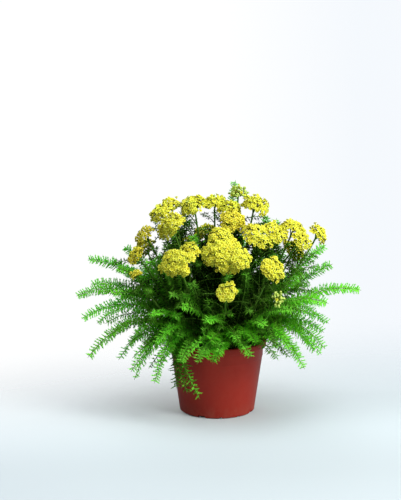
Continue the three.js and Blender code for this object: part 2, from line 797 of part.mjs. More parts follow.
// Leaves up a stem: each starts in the stem's middle and stands out from it, a turn on from the one below.
function layStemLeaves() {
  for (const stem of stems) {
    const small = stem.lobes[0].radius < SMALL_HEAD;
    for (let k = 0; k < (small ? 1 : STEM_LEAF_PLACES.length); k += 1) {
      const next = stream(600 + stem.index * 10 + k);
      const { point, along } = onCurve(stem.curves[0], STEM_LEAF_PLACES[k]);
      const make = (spread) => {
        const angle = STEM_LEAF.turn * k + stem.index + signed(next, 0.3 + spread * Math.PI);
        const open = STEM_LEAF.open + signed(next, 0.15 + spread * 0.5);
        const size = (1 - STEM_LEAF.shorter * k) * (1 - 0.3 * spread);
        const length = STEM_LEAF.length * size;
        const u = vec(1, 0.3, 0).projectOnPlane(along).normalize();
        const v = along.clone().cross(u);
        const outward = u.multiplyScalar(Math.cos(angle)).addScaledVector(v, Math.sin(angle));
        const direction = outward.multiplyScalar(Math.sin(open)).addScaledVector(along, Math.cos(open));
        const tip = point.clone().addScaledVector(direction, length);
        const control = mix(point, tip, 0.5);
        tip.z -= length * STEM_LEAF.droop;
        control.z += (length * STEM_LEAF.droop) / 2;
        return layLeaf(arch(point, control, tip), STEM_LEAF, STEM_LEAF.width * size, 0);
      };
      const leaf = settle(make, stem.node, STEM_LEAF.joined);
      if (leaf) stem.leaves.push(leaf);
    }
  }
}

layStems();
layTufts();
layStemLeaves();

// -------------------------------------------------------------------------------------- plant solids

const deepEnd = (foot, depth) => foot.clone().addScaledVector(UP, -depth);

function stemSolid({ foot, curves, stalks, leaves }) {
  const [main, ...branches] = curves;
  const buried = { point: deepEnd(foot, STEM.sunk), along: UP, radius: STEM.footRadius };
  const risen = stationsOn(main, [STEM.footRadius, STEM.neckRadius], STEM.steps);
  risen[0].along = UP;
  const rods = stalks.map(([from, to]) => rod(from, to, STEM.stalkRadii, 3));
  const neck = [STEM.neckRadius, STEM.neckRadius];
  const forks = branches.map((curve) => tube(stationsOn(curve, neck, STEM.steps - 1), 3));
  return fuse([tube([buried, ...risen], STEM.sides), ...forks, ...rods, ...leaves.map(leafSolid)]);
}

function tuftSolid({ top, leaves }) {
  const foot = deepEnd(top, CROWN.above + CROWN.sunk);
  return fuse([rod(foot, top, [CROWN.radius, CROWN.topRadius], CROWN.sides), ...leaves.map(leafSolid)]);
}

// ------------------------------------------------------------------------------------------ assembly

const finish = (color, roughness) => new THREE.MeshStandardMaterial({ color, roughness, metalness: 0 });
const materials = {
  pot: finish(0x9c3f34, 0.45),
  soil: finish(0x3a2a1e, 0.95),
  foliage: finish(0x3f8a24, 0.6),
  bloom: finish(0xe9d33a, 0.7),
};

const plant = new THREE.Group();

function add(name, body, material) {
  const mesh = new THREE.Mesh(geometryOf(body), material);
  mesh.name = name;
  plant.add(mesh);
}

// The plain holes in the compost that the stems and the tufts' crowns stand in.
const holes = [
  ...stems.map(({ foot }) => ({
    from: deepEnd(foot, STEM.sunk + FIT),
    to: deepEnd(foot, -CROWN.above),
    radius: STEM.holeRadius,
    sides: STEM.sides,
  })),
  ...tufts.map(({ top }) => ({
    from: deepEnd(top, CROWN.above + CROWN.sunk + FIT),
    to: deepEnd(top, 0),
    radius: CROWN.holeRadius,
    sides: CROWN.sides,
  })),
];
add("pot", potSolid(), materials.pot);
add("compost", soilSolid(holes), materials.soil);
for (const tuft of tufts) add(tuft.node, tuftSolid(tuft), materials.foliage);
for (const stem of stems) add(stem.node, stemSolid(stem), materials.foliage);
for (const head of heads) add(head.node, fuse(head.lobes.map(lobeSolid)), materials.bloom);

export default plant;
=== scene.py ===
"""A flowering yarrow in its nursery pot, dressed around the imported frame.

The layout is worked out in millimetres, with +Z up, the origin under the middle of the pot and -Y at
the plant's front. Meshes go into Blender in metres.
"""

import logging
import math
from collections.abc import Iterator
from dataclasses import dataclass, field
from enum import Enum

import bpy
import numpy as np
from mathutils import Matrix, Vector

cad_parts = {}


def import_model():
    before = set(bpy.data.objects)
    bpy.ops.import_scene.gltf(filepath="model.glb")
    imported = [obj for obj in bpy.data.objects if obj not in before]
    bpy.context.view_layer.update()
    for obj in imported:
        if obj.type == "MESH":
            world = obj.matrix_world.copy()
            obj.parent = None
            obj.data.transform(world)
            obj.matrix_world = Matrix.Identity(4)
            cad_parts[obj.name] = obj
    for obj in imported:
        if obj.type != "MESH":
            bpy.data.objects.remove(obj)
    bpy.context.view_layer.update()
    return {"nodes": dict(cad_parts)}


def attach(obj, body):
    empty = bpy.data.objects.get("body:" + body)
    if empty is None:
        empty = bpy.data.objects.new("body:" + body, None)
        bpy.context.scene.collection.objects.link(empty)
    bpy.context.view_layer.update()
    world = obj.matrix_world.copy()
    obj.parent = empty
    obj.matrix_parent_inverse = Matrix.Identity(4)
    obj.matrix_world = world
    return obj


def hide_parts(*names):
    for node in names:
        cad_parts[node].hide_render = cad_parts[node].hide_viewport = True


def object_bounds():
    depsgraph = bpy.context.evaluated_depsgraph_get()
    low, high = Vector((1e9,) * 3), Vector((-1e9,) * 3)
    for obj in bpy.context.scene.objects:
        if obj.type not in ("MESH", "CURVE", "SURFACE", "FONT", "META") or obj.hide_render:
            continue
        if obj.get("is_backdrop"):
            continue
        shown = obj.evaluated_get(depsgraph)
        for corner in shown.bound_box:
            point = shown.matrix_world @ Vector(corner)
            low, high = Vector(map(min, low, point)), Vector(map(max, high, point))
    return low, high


LOG = logging.getLogger("yarrow")
MM = 0.001
GOLDEN = math.pi * (3 - math.sqrt(5))
TONE_MAP = "OFBake"
Array = np.ndarray


# ---------------------------------------------------------------------------------------- geometry


def unit(vectors: Array) -> Array:
    """Vectors at length 1."""
    return vectors / np.maximum(np.linalg.norm(vectors, axis=-1, keepdims=True), 1e-12)


def turned(vectors: Array, axes: Array, angle: float) -> Array:
    """Vectors turned about unit axes.

    Args:
        vectors: The vectors, one a row.
        axes: Their axes.
        angle: Radians.

    Returns:
        The turned vectors.
    """
    dots = np.sum(vectors * axes, axis=-1, keepdims=True)
    across = np.cross(axes, vectors)
    return vectors * math.cos(angle) + across * math.sin(angle) + axes * dots * (1 - math.cos(angle))


def square_to(vectors: Array, axes: Array) -> Array:
    """Unit vectors square to unit axes, as near to the given ones as they can be."""
    return unit(vectors - axes * np.sum(vectors * axes, axis=-1, keepdims=True))


def about_z(angle: Array | float) -> Array:
    """Matrices that turn about Z.

    Args:
        angle: Radians, one or many.

    Returns:
        A matrix for each.
    """
    angle = np.asarray(angle, float)
    spin = np.zeros((*angle.shape, 3, 3))
    spin[..., 0, 0] = spin[..., 1, 1] = np.cos(angle)
    spin[..., 1, 0] = np.sin(angle)
    spin[..., 0, 1] = -np.sin(angle)
    spin[..., 2, 2] = 1
    return spin


def quarter_turned(vector: Array) -> Array:
    """A vector turned a quarter about Z, with its height left out."""
    return np.array([-vector[1], vector[0], 0])


class Draws:
    """The layout's seeded stream of numbers from 0 to 1."""

    MODULUS = 2147483647

    def __init__(self, seed: int) -> None:
        """Starts the stream.

        Args:
            seed: A whole number.
        """
        self.state = (seed * 7919 + 101) % self.MODULUS
        self.next()
        self.next()

    def next(self) -> float:
        """The next number."""
        self.state = self.state * 16807 % self.MODULUS
        return self.state / self.MODULUS

    def signed(self, amount: float) -> float:
        """The next number, spread from -amount to amount."""
        return (2 * self.next() - 1) * amount


@dataclass(frozen=True)
class Curve:
    """A cubic Bezier curve."""

    corners: Array

    @classmethod
    def arch(cls, start: Array, control: Array, end: Array) -> "Curve":
        """The curve with a single control point.

        Args:
            start: First point.
            control: The control point.
            end: Last point.

        Returns:
            The curve.
        """
        first = start + (control - start) * 2 / 3
        return cls(np.array([start, first, end + (control - end) * 2 / 3, end]))

    def at(self, t: Array | float) -> Array:
        """Points on it.

        Args:
            t: Places from 0 to 1.

        Returns:
            A point for each.
        """
        t = np.asarray(t, float)[..., None]
        a, b, c, d = self.corners
        s = 1 - t
        return a * s**3 + b * 3 * s * s * t + c * 3 * s * t * t + d * t**3

    def along(self, t: Array | float) -> Array:
        """Unit directions along it.

        Args:
            t: Places from 0 to 1.

        Returns:
            A direction for each.
        """
        t = np.asarray(t, float)[..., None]
        a, b, c, d = self.corners
        s = 1 - t
        return unit((b - a) * s * s + (c - b) * 2 * s * t + (d - c) * t * t)

    @property
    def length(self) -> float:
        """Its length, nearly."""
        return float(np.linalg.norm(np.diff(self.at(np.linspace(0, 1, 24)), axis=0), axis=1).sum())


# ------------------------------------------------------------------------------------------- meshes


class Tissue(Enum):
    """What a small form is made of. Its value is its band of the tone map."""

    STALK = 0
    BLADE = 1
    RAY = 2
    DISC = 3
    CALYX = 4
    BUD = 5

    @property
    def smooth(self) -> bool:
        """Whether its faces are shaded smooth."""
        return self in (Tissue.STALK, Tissue.DISC, Tissue.CALYX, Tissue.BUD)


@dataclass(frozen=True)
class Form:
    """A small closed shape that is stamped many times."""

    tissue: Tissue
    points: Array
    faces: Array
    tone: Array  # added to a copy's tone, one a point
    reach: Array  # added to a copy's reach, one a point


def closed_form(tissue: Tissue, rings: list[Array], tone_step: float = 0.02) -> Form:
    """A closed form made of rings of points, whose ends close to their middles.

    Args:
        tissue: What it is made of.
        rings: Rings of as many points each, in order, turning the same way about the line they follow.
        tone_step: How far the tone swings round a ring.

    Returns:
        The form. Its reach goes from 0 at the first ring to 1 at the last.
    """
    sides = len(rings[0])
    points = np.vstack([*rings, rings[0].mean(0), rings[-1].mean(0)])
    first, last = len(points) - 2, len(points) - 1
    faces = []
    for k in range(sides):
        following = (k + 1) % sides
        for row in range(len(rings) - 1):
            a, b = row * sides + k, row * sides + following
            faces += [(a, b, b + sides), (a, b + sides, a + sides)]
        top = (len(rings) - 1) * sides
        faces += [(first, following, k), (last, top + k, top + following)]
    swing = np.tile(np.where(np.arange(sides) % 2, tone_step, 0.0), len(rings))
    reach = np.repeat(np.linspace(0, 1, len(rings)), sides)
    return Form(tissue, points, np.array(faces), np.append(swing, [0, 0]), np.append(reach, [0, 1]))


def two_fans(count: int) -> Array:
    """Triangles between a ring of points and the two middles that follow it, one for each side.

    Args:
        count: How many points the ring has.

    Returns:
        The triangles.
    """
    k = np.arange(count)
    following = (k + 1) % count
    above = np.column_stack([k, following, np.full(count, count)])
    below = np.column_stack([following, k, np.full(count, count + 1)])
    return np.vstack([above, below])


def cone_form(tissue: Tissue, radius: float, base: float, point: float, sides: int) -> Form:
    """A cone along Z.

    Args:
        tissue: What it is made of.
        radius: Its radius at its base.
        base: The height of its base.
        point: The height of its point, which is lower.
        sides: How many sides.

    Returns:
        The form.
    """
    points = np.vstack([circle(radius, sides, base), [[0, 0, base], [0, 0, point]]])
    reach = np.append(np.ones(sides + 1), 0.0)
    return Form(tissue, points, two_fans(sides), np.zeros(sides + 2), reach)


def circle(radius: float, count: int, height: float = 0.0, start: float = 0.0) -> Array:
    """Points round a circle about Z.

    Args:
        radius: Its radius.
        count: How many points.
        height: Their height.
        start: Radians that the first point is turned by.

    Returns:
        The points.
    """
    angle = start + np.arange(count) * 2 * math.pi / count
    return np.column_stack([radius * np.cos(angle), radius * np.sin(angle), np.full(count, height)])


def copied(points: Array, faces: Array, frames: Array, origins: Array) -> tuple[Array, Array]:
    """Copies of a shape.

    Args:
        points: Its points.
        faces: Its triangles.
        frames: For each copy, the shape's three axes as the columns of a matrix.
        origins: Where each copy's origin goes.

    Returns:
        The points and the triangles of all the copies.
    """
    placed = np.einsum("mij,vj->mvi", frames, points) + origins[:, None]
    starts = np.arange(len(frames)) * len(points)
    return placed.reshape(-1, 3), (faces[None] + starts[:, None, None]).reshape(-1, 3)


BELLY = 0.32  # where along a leaf segment it is widest
EDGE = 0.6  # how far its edges lift there, as a share of its thickness
THICKNESS = 0.45  # as a share of its width
SLIVER = Form(
    Tissue.BLADE,
    np.array([[0, 0, 0], [BELLY, 1, EDGE], [BELLY, -1, EDGE], [1, 0, 0]]),
    np.array([[0, 2, 1], [1, 2, 3], [0, 1, 3], [0, 3, 2]]),
    np.array([0, 0.03, -0.02, 0.05]),
    np.array([0, 0.04, 0.04, 0.09]),
)
ASLANT = (0.31, 0.95, 0.07)  # a direction that no stalk follows
RIBS = 0.1  # their height on a stalk of more than RIBLESS sides, as a share of its radius
RIBLESS = 6


class Stock:
    """Gathers small closed forms and joins them into one mesh."""

    def __init__(self) -> None:
        """Starts empty."""
        self.points: list[Array] = []
        self.faces: list[Array] = []
        self.places: list[Array] = []
        self.tissues: list[Array] = []
        self.count = 0

    def add(self, tissue: Tissue, points: Array, faces: Array, tone: Array, reach: Array) -> None:
        """Adds points and faces.

        Args:
            tissue: What they are made of.
            points: Millimetres, one a row.
            faces: Triangles, as indices of the points.
            tone: From 0, dark, to 1, light, one a point.
            reach: From 0 at the root of the piece to 1 at its tip, one a point.
        """
        across = 0.02 + 0.96 * np.clip(tone, 0, 1)
        up = (tissue.value + 0.04 + 0.92 * np.clip(reach, 0, 1)) / len(Tissue)
        self.points.append(points)
        self.faces.append(faces + self.count)
        self.places.append(np.column_stack([across, up]))
        self.tissues.append(np.full(len(faces), tissue.value))
        self.count += len(points)

    def stamp(self, form: Form, frames: Array, origins: Array, tones: Array, reaches: Array) -> None:
        """Adds a copy of a form at each origin.

        Args:
            form: The form.
            frames: For each copy, the form's three axes as the columns of a matrix.
            origins: Where each copy's origin goes.
            tones: Each copy's tone.
            reaches: Each copy's reach.
        """
        points, faces = copied(form.points, form.faces, frames, origins)
        tone = (tones[:, None] + form.tone[None]).ravel()
        reach = (reaches[:, None] + form.reach[None]).ravel()
        self.add(form.tissue, points, faces, tone, reach)

    def segments(self, base: Array, tip: Array, flat: Array, width: Array, tone: Array, reach: Array) -> None:
        """Adds narrow leaf segments.

        Args:
            base: Where each starts.
            tip: Where each ends.
            flat: The direction that each one's upper side faces.
            width: Its greatest width.
            tone: Its tone.
            reach: How far along the leaf it stands.
        """
        long = tip - base
        flat = square_to(flat, unit(long))
        side = np.cross(flat, unit(long))
        frames = np.stack([long, side * width[:, None] / 2, flat * width[:, None] * THICKNESS], axis=2)
        self.stamp(SLIVER, frames, base, tone, reach)

    def tube(self, path: Array, radii: Array, sides: int, tone: float, reach: tuple[float, float]) -> None:
        """Adds a stalk along a path, closed at both ends.

        Args:
            path: Points in order.
            radii: Its radius at each.
            sides: How many sides.
            tone: Its tone.
            reach: Its reach at both ends.
        """
        along = unit(np.gradient(path, axis=0))
        u = square_to(np.broadcast_to(ASLANT, path.shape), along)
        v = np.cross(along, u)
        angle = np.arange(sides) * 2 * math.pi / sides
        ribbed = radii[:, None] * (1 + RIBS * np.cos(angle * sides / 2) * (sides > RIBLESS))
        aside = u[:, None] * (ribbed * np.cos(angle))[..., None]
        ahead = v[:, None] * (ribbed * np.sin(angle))[..., None]
        form = closed_form(Tissue.STALK, list(path[:, None] + (aside + ahead)))
        reaches = reach[0] + (reach[1] - reach[0]) * form.reach
        self.add(form.tissue, form.points, form.faces, tone + form.tone, reaches)

    def build(self, name: str, finishes: dict[Tissue, bpy.types.Material]) -> bpy.types.Object:
        """Makes the object.

        Args:
            name: Its name.
            finishes: The material of each tissue.

        Returns:
            The object, linked to the scene.
        """
        faces = np.vstack(self.faces)
        tissues = np.concatenate(self.tissues)
        used = sorted(set(tissues.tolist()))
        obj = object_from(name, np.vstack(self.points), faces)
        for value in used:
            obj.data.materials.append(finishes[Tissue(value)])
        smooth = np.array([Tissue(value).smooth for value in used])
        index = np.searchsorted(used, tissues)
        obj.data.polygons.foreach_set("material_index", index.astype(np.int32))
        obj.data.polygons.foreach_set("use_smooth", smooth[index])
        layer = obj.data.uv_layers.new(name=TONE_MAP)
        layer.data.foreach_set("uv", np.vstack(self.places)[faces.ravel()].astype(np.float32).ravel())
        return obj


def object_from(name: str, points: Array, faces: Array) -> bpy.types.Object:
    """An object from triangles.

    Args:
        name: Its name.
        points: Millimetres, one a row.
        faces: Triangles, as indices of the points.

    Returns:
        The object, linked to the scene.
    """
    mesh = bpy.data.meshes.new(name)
    mesh.vertices.add(len(points))
    mesh.vertices.foreach_set("co", (points * MM).astype(np.float32).ravel())
    mesh.loops.add(faces.size)
    mesh.loops.foreach_set("vertex_index", faces.astype(np.int32).ravel())
    mesh.polygons.add(len(faces))
    mesh.polygons.foreach_set("loop_start", np.arange(0, faces.size, 3, dtype=np.int32))
    mesh.update(calc_edges=True)
    obj = bpy.data.objects.new(name, mesh)
    bpy.context.scene.collection.objects.link(obj)
    return obj


def settle_piece(obj: bpy.types.Object, slot: str, *nodes: str) -> None:
    """Hands a finished piece to the frame.

    Args:
        obj: The piece.
        slot: Not used.
        nodes: The solids that it stands for.
    """
    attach(obj, "root")
    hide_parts(*nodes)
    LOG.info("%s: %d faces for %s", obj.name, len(obj.data.polygons), ", ".join(nodes))


# ----------------------------------------------------------------------------------------- finishes


class NodeBench:
    """Places shader nodes in one tree and wires them."""

    def __init__(self, tree: bpy.types.NodeTree) -> None:
        """Works on a tree.

        Args:
            tree: A material's, a world's or a group's node tree.
        """
        self.tree = tree

    def node(self, kind: str, inputs: dict | None = None, **settings: object) -> bpy.types.Node:
        """Adds a node.

        Args:
            kind: The node's type.
            inputs: For each socket, a value or the output that feeds it.
            settings: The node's own properties.

        Returns:
            The node.
        """
        made = self.tree.nodes.new(kind)
        for name, value in settings.items():
            setattr(made, name, value)
        for name, value in (inputs or {}).items():
            if isinstance(value, bpy.types.NodeSocket):
                self.tree.links.new(value, made.inputs[name])
            else:
                made.inputs[name].default_value = value
        return made

    def math(self, operation: str, *values: object) -> bpy.types.NodeSocket:
        """A sum, product or other operation on numbers."""
        return self.node("ShaderNodeMath", dict(enumerate(values)), operation=operation).outputs[0]

    def mix(self, share: object, first: object, second: object) -> bpy.types.NodeSocket:
        """A mix of two colours, which is the first where the share is 0 and the second where it is 1."""
        return self.node("ShaderNodeMix", {0: share, 6: first, 7: second}, data_type="RGBA").outputs[2]

    def spread(self, value: object, low: float, high: float, start: float = 0.0, end: float = 1.0,
               curve: str = "LINEAR") -> bpy.types.NodeSocket:
        """A number laid from one range onto another, and held at its ends.

        Args:
            value: The number.
            low: Where its own range starts.
            high: Where that ends.
            start: Where the new range starts.
            end: Where that ends.
            curve: How it goes from one end to the other.

        Returns:
            The new number's socket.
        """
        inputs = {0: value, 1: low, 2: high, 3: start, 4: end}
        return self.node("ShaderNodeMapRange", inputs, interpolation_type=curve).outputs[0]

    def mask(self, mottle: bpy.types.NodeTree, scale: float, contrast: float = 1.0) -> bpy.types.NodeSocket:
        """The mottle group's mask."""
        inputs = {"Scale": scale, "Contrast": contrast}
        return self.node("ShaderNodeGroup", inputs, node_tree=mottle).outputs["Mask"]

    def surface(self, shader: bpy.types.Node) -> None:
        """Ends a material's tree in a shader."""
        self.node("ShaderNodeOutputMaterial", {"Surface": shader.outputs[0]})


def blank_material(name: str) -> tuple[bpy.types.Material, NodeBench]:
    """A material with an empty tree.

    Args:
        name: Its name.

    Returns:
        The material, and a bench to fill its tree on.
    """
    mat = bpy.data.materials.new(name)
    mat.use_nodes = True
    mat.node_tree.nodes.clear()
    return mat, NodeBench(mat.node_tree)


def group(name: str, inputs: dict[str, object],
          output: tuple[str, str]) -> tuple[bpy.types.NodeTree, NodeBench]:
    """An empty node group with named sockets.

    Args:
        name: Its name.
        inputs: Each input's default, a number or a colour.
        output: The output's name and socket type.

    Returns:
        The group, and a bench to fill it on.
    """
    tree = bpy.data.node_groups.new(name, "ShaderNodeTree")
    for label, default in inputs.items():
        kind = "NodeSocketFloat" if isinstance(default, (int, float)) else "NodeSocketColor"
        tree.interface.new_socket(label, in_out="INPUT", socket_type=kind).default_value = default
    label, kind = output
    tree.interface.new_socket(label, in_out="OUTPUT", socket_type=kind)
    return tree, NodeBench(tree)


def tissue_tone_group() -> bpy.types.NodeTree:
    """The group that gives a tissue its colour from its place on the tone map.

    Returns:
        The group: dark to light with the piece's tone, then towards the root's and the tip's colour.
    """
    root_fall, tip_rise = 3.0, 2.0  # the powers of the reach that the two go by
    shares = {"Band": 0.0, "Root Share": 0.5, "Tip Share": 0.5}
    colours = {"Dark": (0, 0, 0, 1), "Light": (1, 1, 1, 1), "Root": (0, 0, 0, 1), "Tip": (1, 1, 1, 1)}
    tree, bench = group("tissue tone", {**shares, **colours}, ("Color", "NodeSocketColor"))
    given = bench.node("NodeGroupInput").outputs
    tone_map = bench.node("ShaderNodeUVMap", uv_map=TONE_MAP).outputs[0]
    place = bench.node("ShaderNodeSeparateXYZ", {0: tone_map})
    scaled = bench.math("MULTIPLY", place.outputs["Y"], float(len(Tissue)))
    reach = bench.math("SUBTRACT", scaled, given["Band"])
    tone = bench.mix(place.outputs["X"], given["Dark"], given["Light"])
    near_root = bench.math("POWER", bench.math("SUBTRACT", 1.0, reach), root_fall)
    near_tip = bench.math("POWER", reach, tip_rise)
    rooted = bench.mix(bench.math("MULTIPLY", near_root, given["Root Share"]), tone, given["Root"])
    colour = bench.mix(bench.math("MULTIPLY", near_tip, given["Tip Share"]), rooted, given["Tip"])
    bench.node("NodeGroupOutput", {"Color": colour})
    return tree


def mottle_group() -> bpy.types.NodeTree:
    """The group for blotches: a mask from two noises, one coarse and one fine.

    Returns:
        The group. Its mask runs from 0 to 1 about one half.
    """
    fineness = 6.0  # of the fine noise, beside the coarse one
    tree, bench = group("mottle", {"Scale": 100.0, "Contrast": 1.0}, ("Mask", "NodeSocketFloat"))
    given = bench.node("NodeGroupInput").outputs
    where = bench.node("ShaderNodeTexCoord").outputs["Object"]
    finer = bench.math("MULTIPLY", given["Scale"], fineness)
    coarse = bench.node("ShaderNodeTexNoise", {"Vector": where, "Scale": given["Scale"], "Detail": 4.0})
    fine = bench.node("ShaderNodeTexNoise", {"Vector": where, "Scale": finer, "Detail": 2.0})
    both = bench.math("ADD", coarse.outputs[0], bench.math("MULTIPLY", fine.outputs[0], 0.5))
    spread = bench.math("MULTIPLY", bench.math("SUBTRACT", both, 0.75), given["Contrast"])
    mask = bench.node("ShaderNodeClamp", {0: bench.math("ADD", spread, 0.5)}).outputs[0]
    bench.node("NodeGroupOutput", {"Mask": mask})
    return tree


@dataclass(frozen=True)
class TissueFinish:
    """A thin living tissue, which lets light through."""

    name: str
    tissue: Tissue
    dark: tuple[float, float, float]
    light: tuple[float, float, float]
    root: tuple[float, float, float]
    tip: tuple[float, float, float]
    root_share: float = 0.5
    tip_share: float = 0.5
    roughness: float = 0.5
    through: float = 0.4  # the share of its light that comes through from behind
    gloss: float = 0.25

    def material(self, tones: bpy.types.NodeTree) -> bpy.types.Material:
        """Makes the material.

        Args:
            tones: The tissue tone group.

        Returns:
            The material.
        """
        mat, bench = blank_material(self.name)
        inputs = {
            "Band": float(self.tissue.value), "Root Share": self.root_share, "Tip Share": self.tip_share,
        }
        for label in ("dark", "light", "root", "tip"):
            inputs[label.title()] = (*getattr(self, label), 1)
        colour = bench.node("ShaderNodeGroup", inputs, node_tree=tones).outputs["Color"]
        solid = bench.node("ShaderNodeBsdfPrincipled", {
            "Base Color": colour, "Roughness": self.roughness, "Specular IOR Level": self.gloss,
        })
        film = bench.node("ShaderNodeBsdfTranslucent", {"Color": colour})
        inputs = {0: self.through, 1: solid.outputs[0], 2: film.outputs[0]}
        bench.surface(bench.node("ShaderNodeMixShader", inputs))
        return mat


TISSUE_FINISHES = (
    TissueFinish("green stalk", Tissue.STALK, (0.045, 0.12, 0.012), (0.13, 0.30, 0.03),
                 (0.10, 0.07, 0.02), (0.12, 0.32, 0.03),
                 roughness=0.6, through=0.2, gloss=0.1),
    # the leaf's near-black root colour is painted shade on leaf bases deep in the plant; its pale tip colour
    # is painted light
    TissueFinish("feathery leaf", Tissue.BLADE, (0.006, 0.028, 0.001), (0.205, 0.76, 0.022),
                 (0.006, 0.028, 0.001), (0.43, 0.96, 0.13),
                 root_share=0.8, tip_share=0.85, roughness=0.7, through=0.58, gloss=0.03),
    # the ray's darker root colour is painted shade between the florets, and its pale tip colour a painted
    # highlight
    TissueFinish("lemon ray", Tissue.RAY, (0.84, 0.74, 0.005), (0.87, 0.99, 0.06),
                 (0.50, 0.46, 0.006), (1.0, 0.99, 0.29),
                 root_share=0.75, tip_share=0.75, roughness=0.6, through=0.36, gloss=0.05),
    TissueFinish("ochre disc", Tissue.DISC, (0.24, 0.14, 0.006), (0.64, 0.58, 0.02),
                 (0.25, 0.20, 0.006), (0.60, 0.50, 0.02),
                 roughness=0.7, through=0.1, gloss=0.06),
    TissueFinish("downy calyx", Tissue.CALYX, (0.30, 0.27, 0.010), (0.70, 0.64, 0.03),
                 (0.16, 0.20, 0.010), (0.75, 0.76, 0.07),
                 root_share=0.6, tip_share=0.6, roughness=0.6, through=0.25, gloss=0.05),
    TissueFinish("green bud", Tissue.BUD, (0.20, 0.32, 0.04), (0.56, 0.74, 0.13),
                 (0.10, 0.20, 0.02), (0.72, 0.84, 0.22),
                 root_share=0.4, tip_share=0.6, roughness=0.6, through=0.25, gloss=0.05),
)


@dataclass(frozen=True)
class PotPlastic:
    """Moulded plastic: satin, faintly mottled, a little dusty towards the foot."""

    colour: tuple[float, float, float] = (0.29, 0.023, 0.013)
    deep: tuple[float, float, float] = (0.235, 0.016, 0.010)
    dust: tuple[float, float, float] = (0.34, 0.15, 0.10)
    roughness: float = 0.42
    gloss: float = 0.1
    dusty_to: float = 0.02  # metres above the ground
    dusty_foot: float = 0.2  # how dusty it is at the ground
    dusty_wall: float = 0.03  # and over that height
    blotch_scale: float = 22
    grain_scale: float = 900
    speck_scale: float = 160
    speck_contrast: float = 3

    def material(self, mottle: bpy.types.NodeTree) -> bpy.types.Material:
        """Makes the material.

        Args:
            mottle: The mottle group.

        Returns:
            The material.
        """
        mat, bench = blank_material("pot plastic")
        blotch = bench.mask(mottle, self.blotch_scale)
        grain = bench.mask(mottle, self.grain_scale)
        specks = bench.mask(mottle, self.speck_scale, self.speck_contrast)
        where = bench.node("ShaderNodeTexCoord").outputs["Object"]
        height = bench.node("ShaderNodeSeparateXYZ", {0: where}).outputs["Z"]
        low = bench.spread(height, 0.0, self.dusty_to, self.dusty_foot, self.dusty_wall)
        dusty = bench.math("MULTIPLY", low, specks)
        body = bench.mix(blotch, (*self.deep, 1), (*self.colour, 1))
        rough = bench.math("ADD", bench.math("MULTIPLY", dusty, 0.6), self.roughness - 0.06)
        bump = bench.node("ShaderNodeBump", {"Strength": 0.12, "Distance": 0.0003, "Height": grain})
        bench.surface(bench.node("ShaderNodeBsdfPrincipled", {
            "Base Color": bench.mix(dusty, body, (*self.dust, 1)),
            "Roughness": bench.math("ADD", bench.math("MULTIPLY", blotch, 0.12), rough),
            "Normal": bump.outputs[0],
            "Specular IOR Level": self.gloss,
        }))
        return mat


@dataclass(frozen=True)
class CompostCrumb:
    """Damp dark compost with lighter fibres."""

    dark: tuple[float, float, float] = (0.018, 0.011, 0.007)
    light: tuple[float, float, float] = (0.085, 0.050, 0.028)
    roughness: float = 0.9
    gloss: float = 0.25
    lump_scale: float = 260
    lump_contrast: float = 2.2

    def material(self, mottle: bpy.types.NodeTree) -> bpy.types.Material:
        """Makes the material.

        Args:
            mottle: The mottle group.

        Returns:
            The material.
        """
        mat, bench = blank_material("compost crumb")
        lumps = bench.mask(mottle, self.lump_scale, self.lump_contrast)
        bump = bench.node("ShaderNodeBump", {"Strength": 0.6, "Distance": 0.0008, "Height": lumps})
        bench.surface(bench.node("ShaderNodeBsdfPrincipled", {
            "Base Color": bench.mix(lumps, (*self.dark, 1), (*self.light, 1)),
            "Roughness": self.roughness,
            "Normal": bump.outputs[0],
            "Specular IOR Level": self.gloss,
        }))
        return mat


# ---------------------------------------------------------------------------------- pot and compost


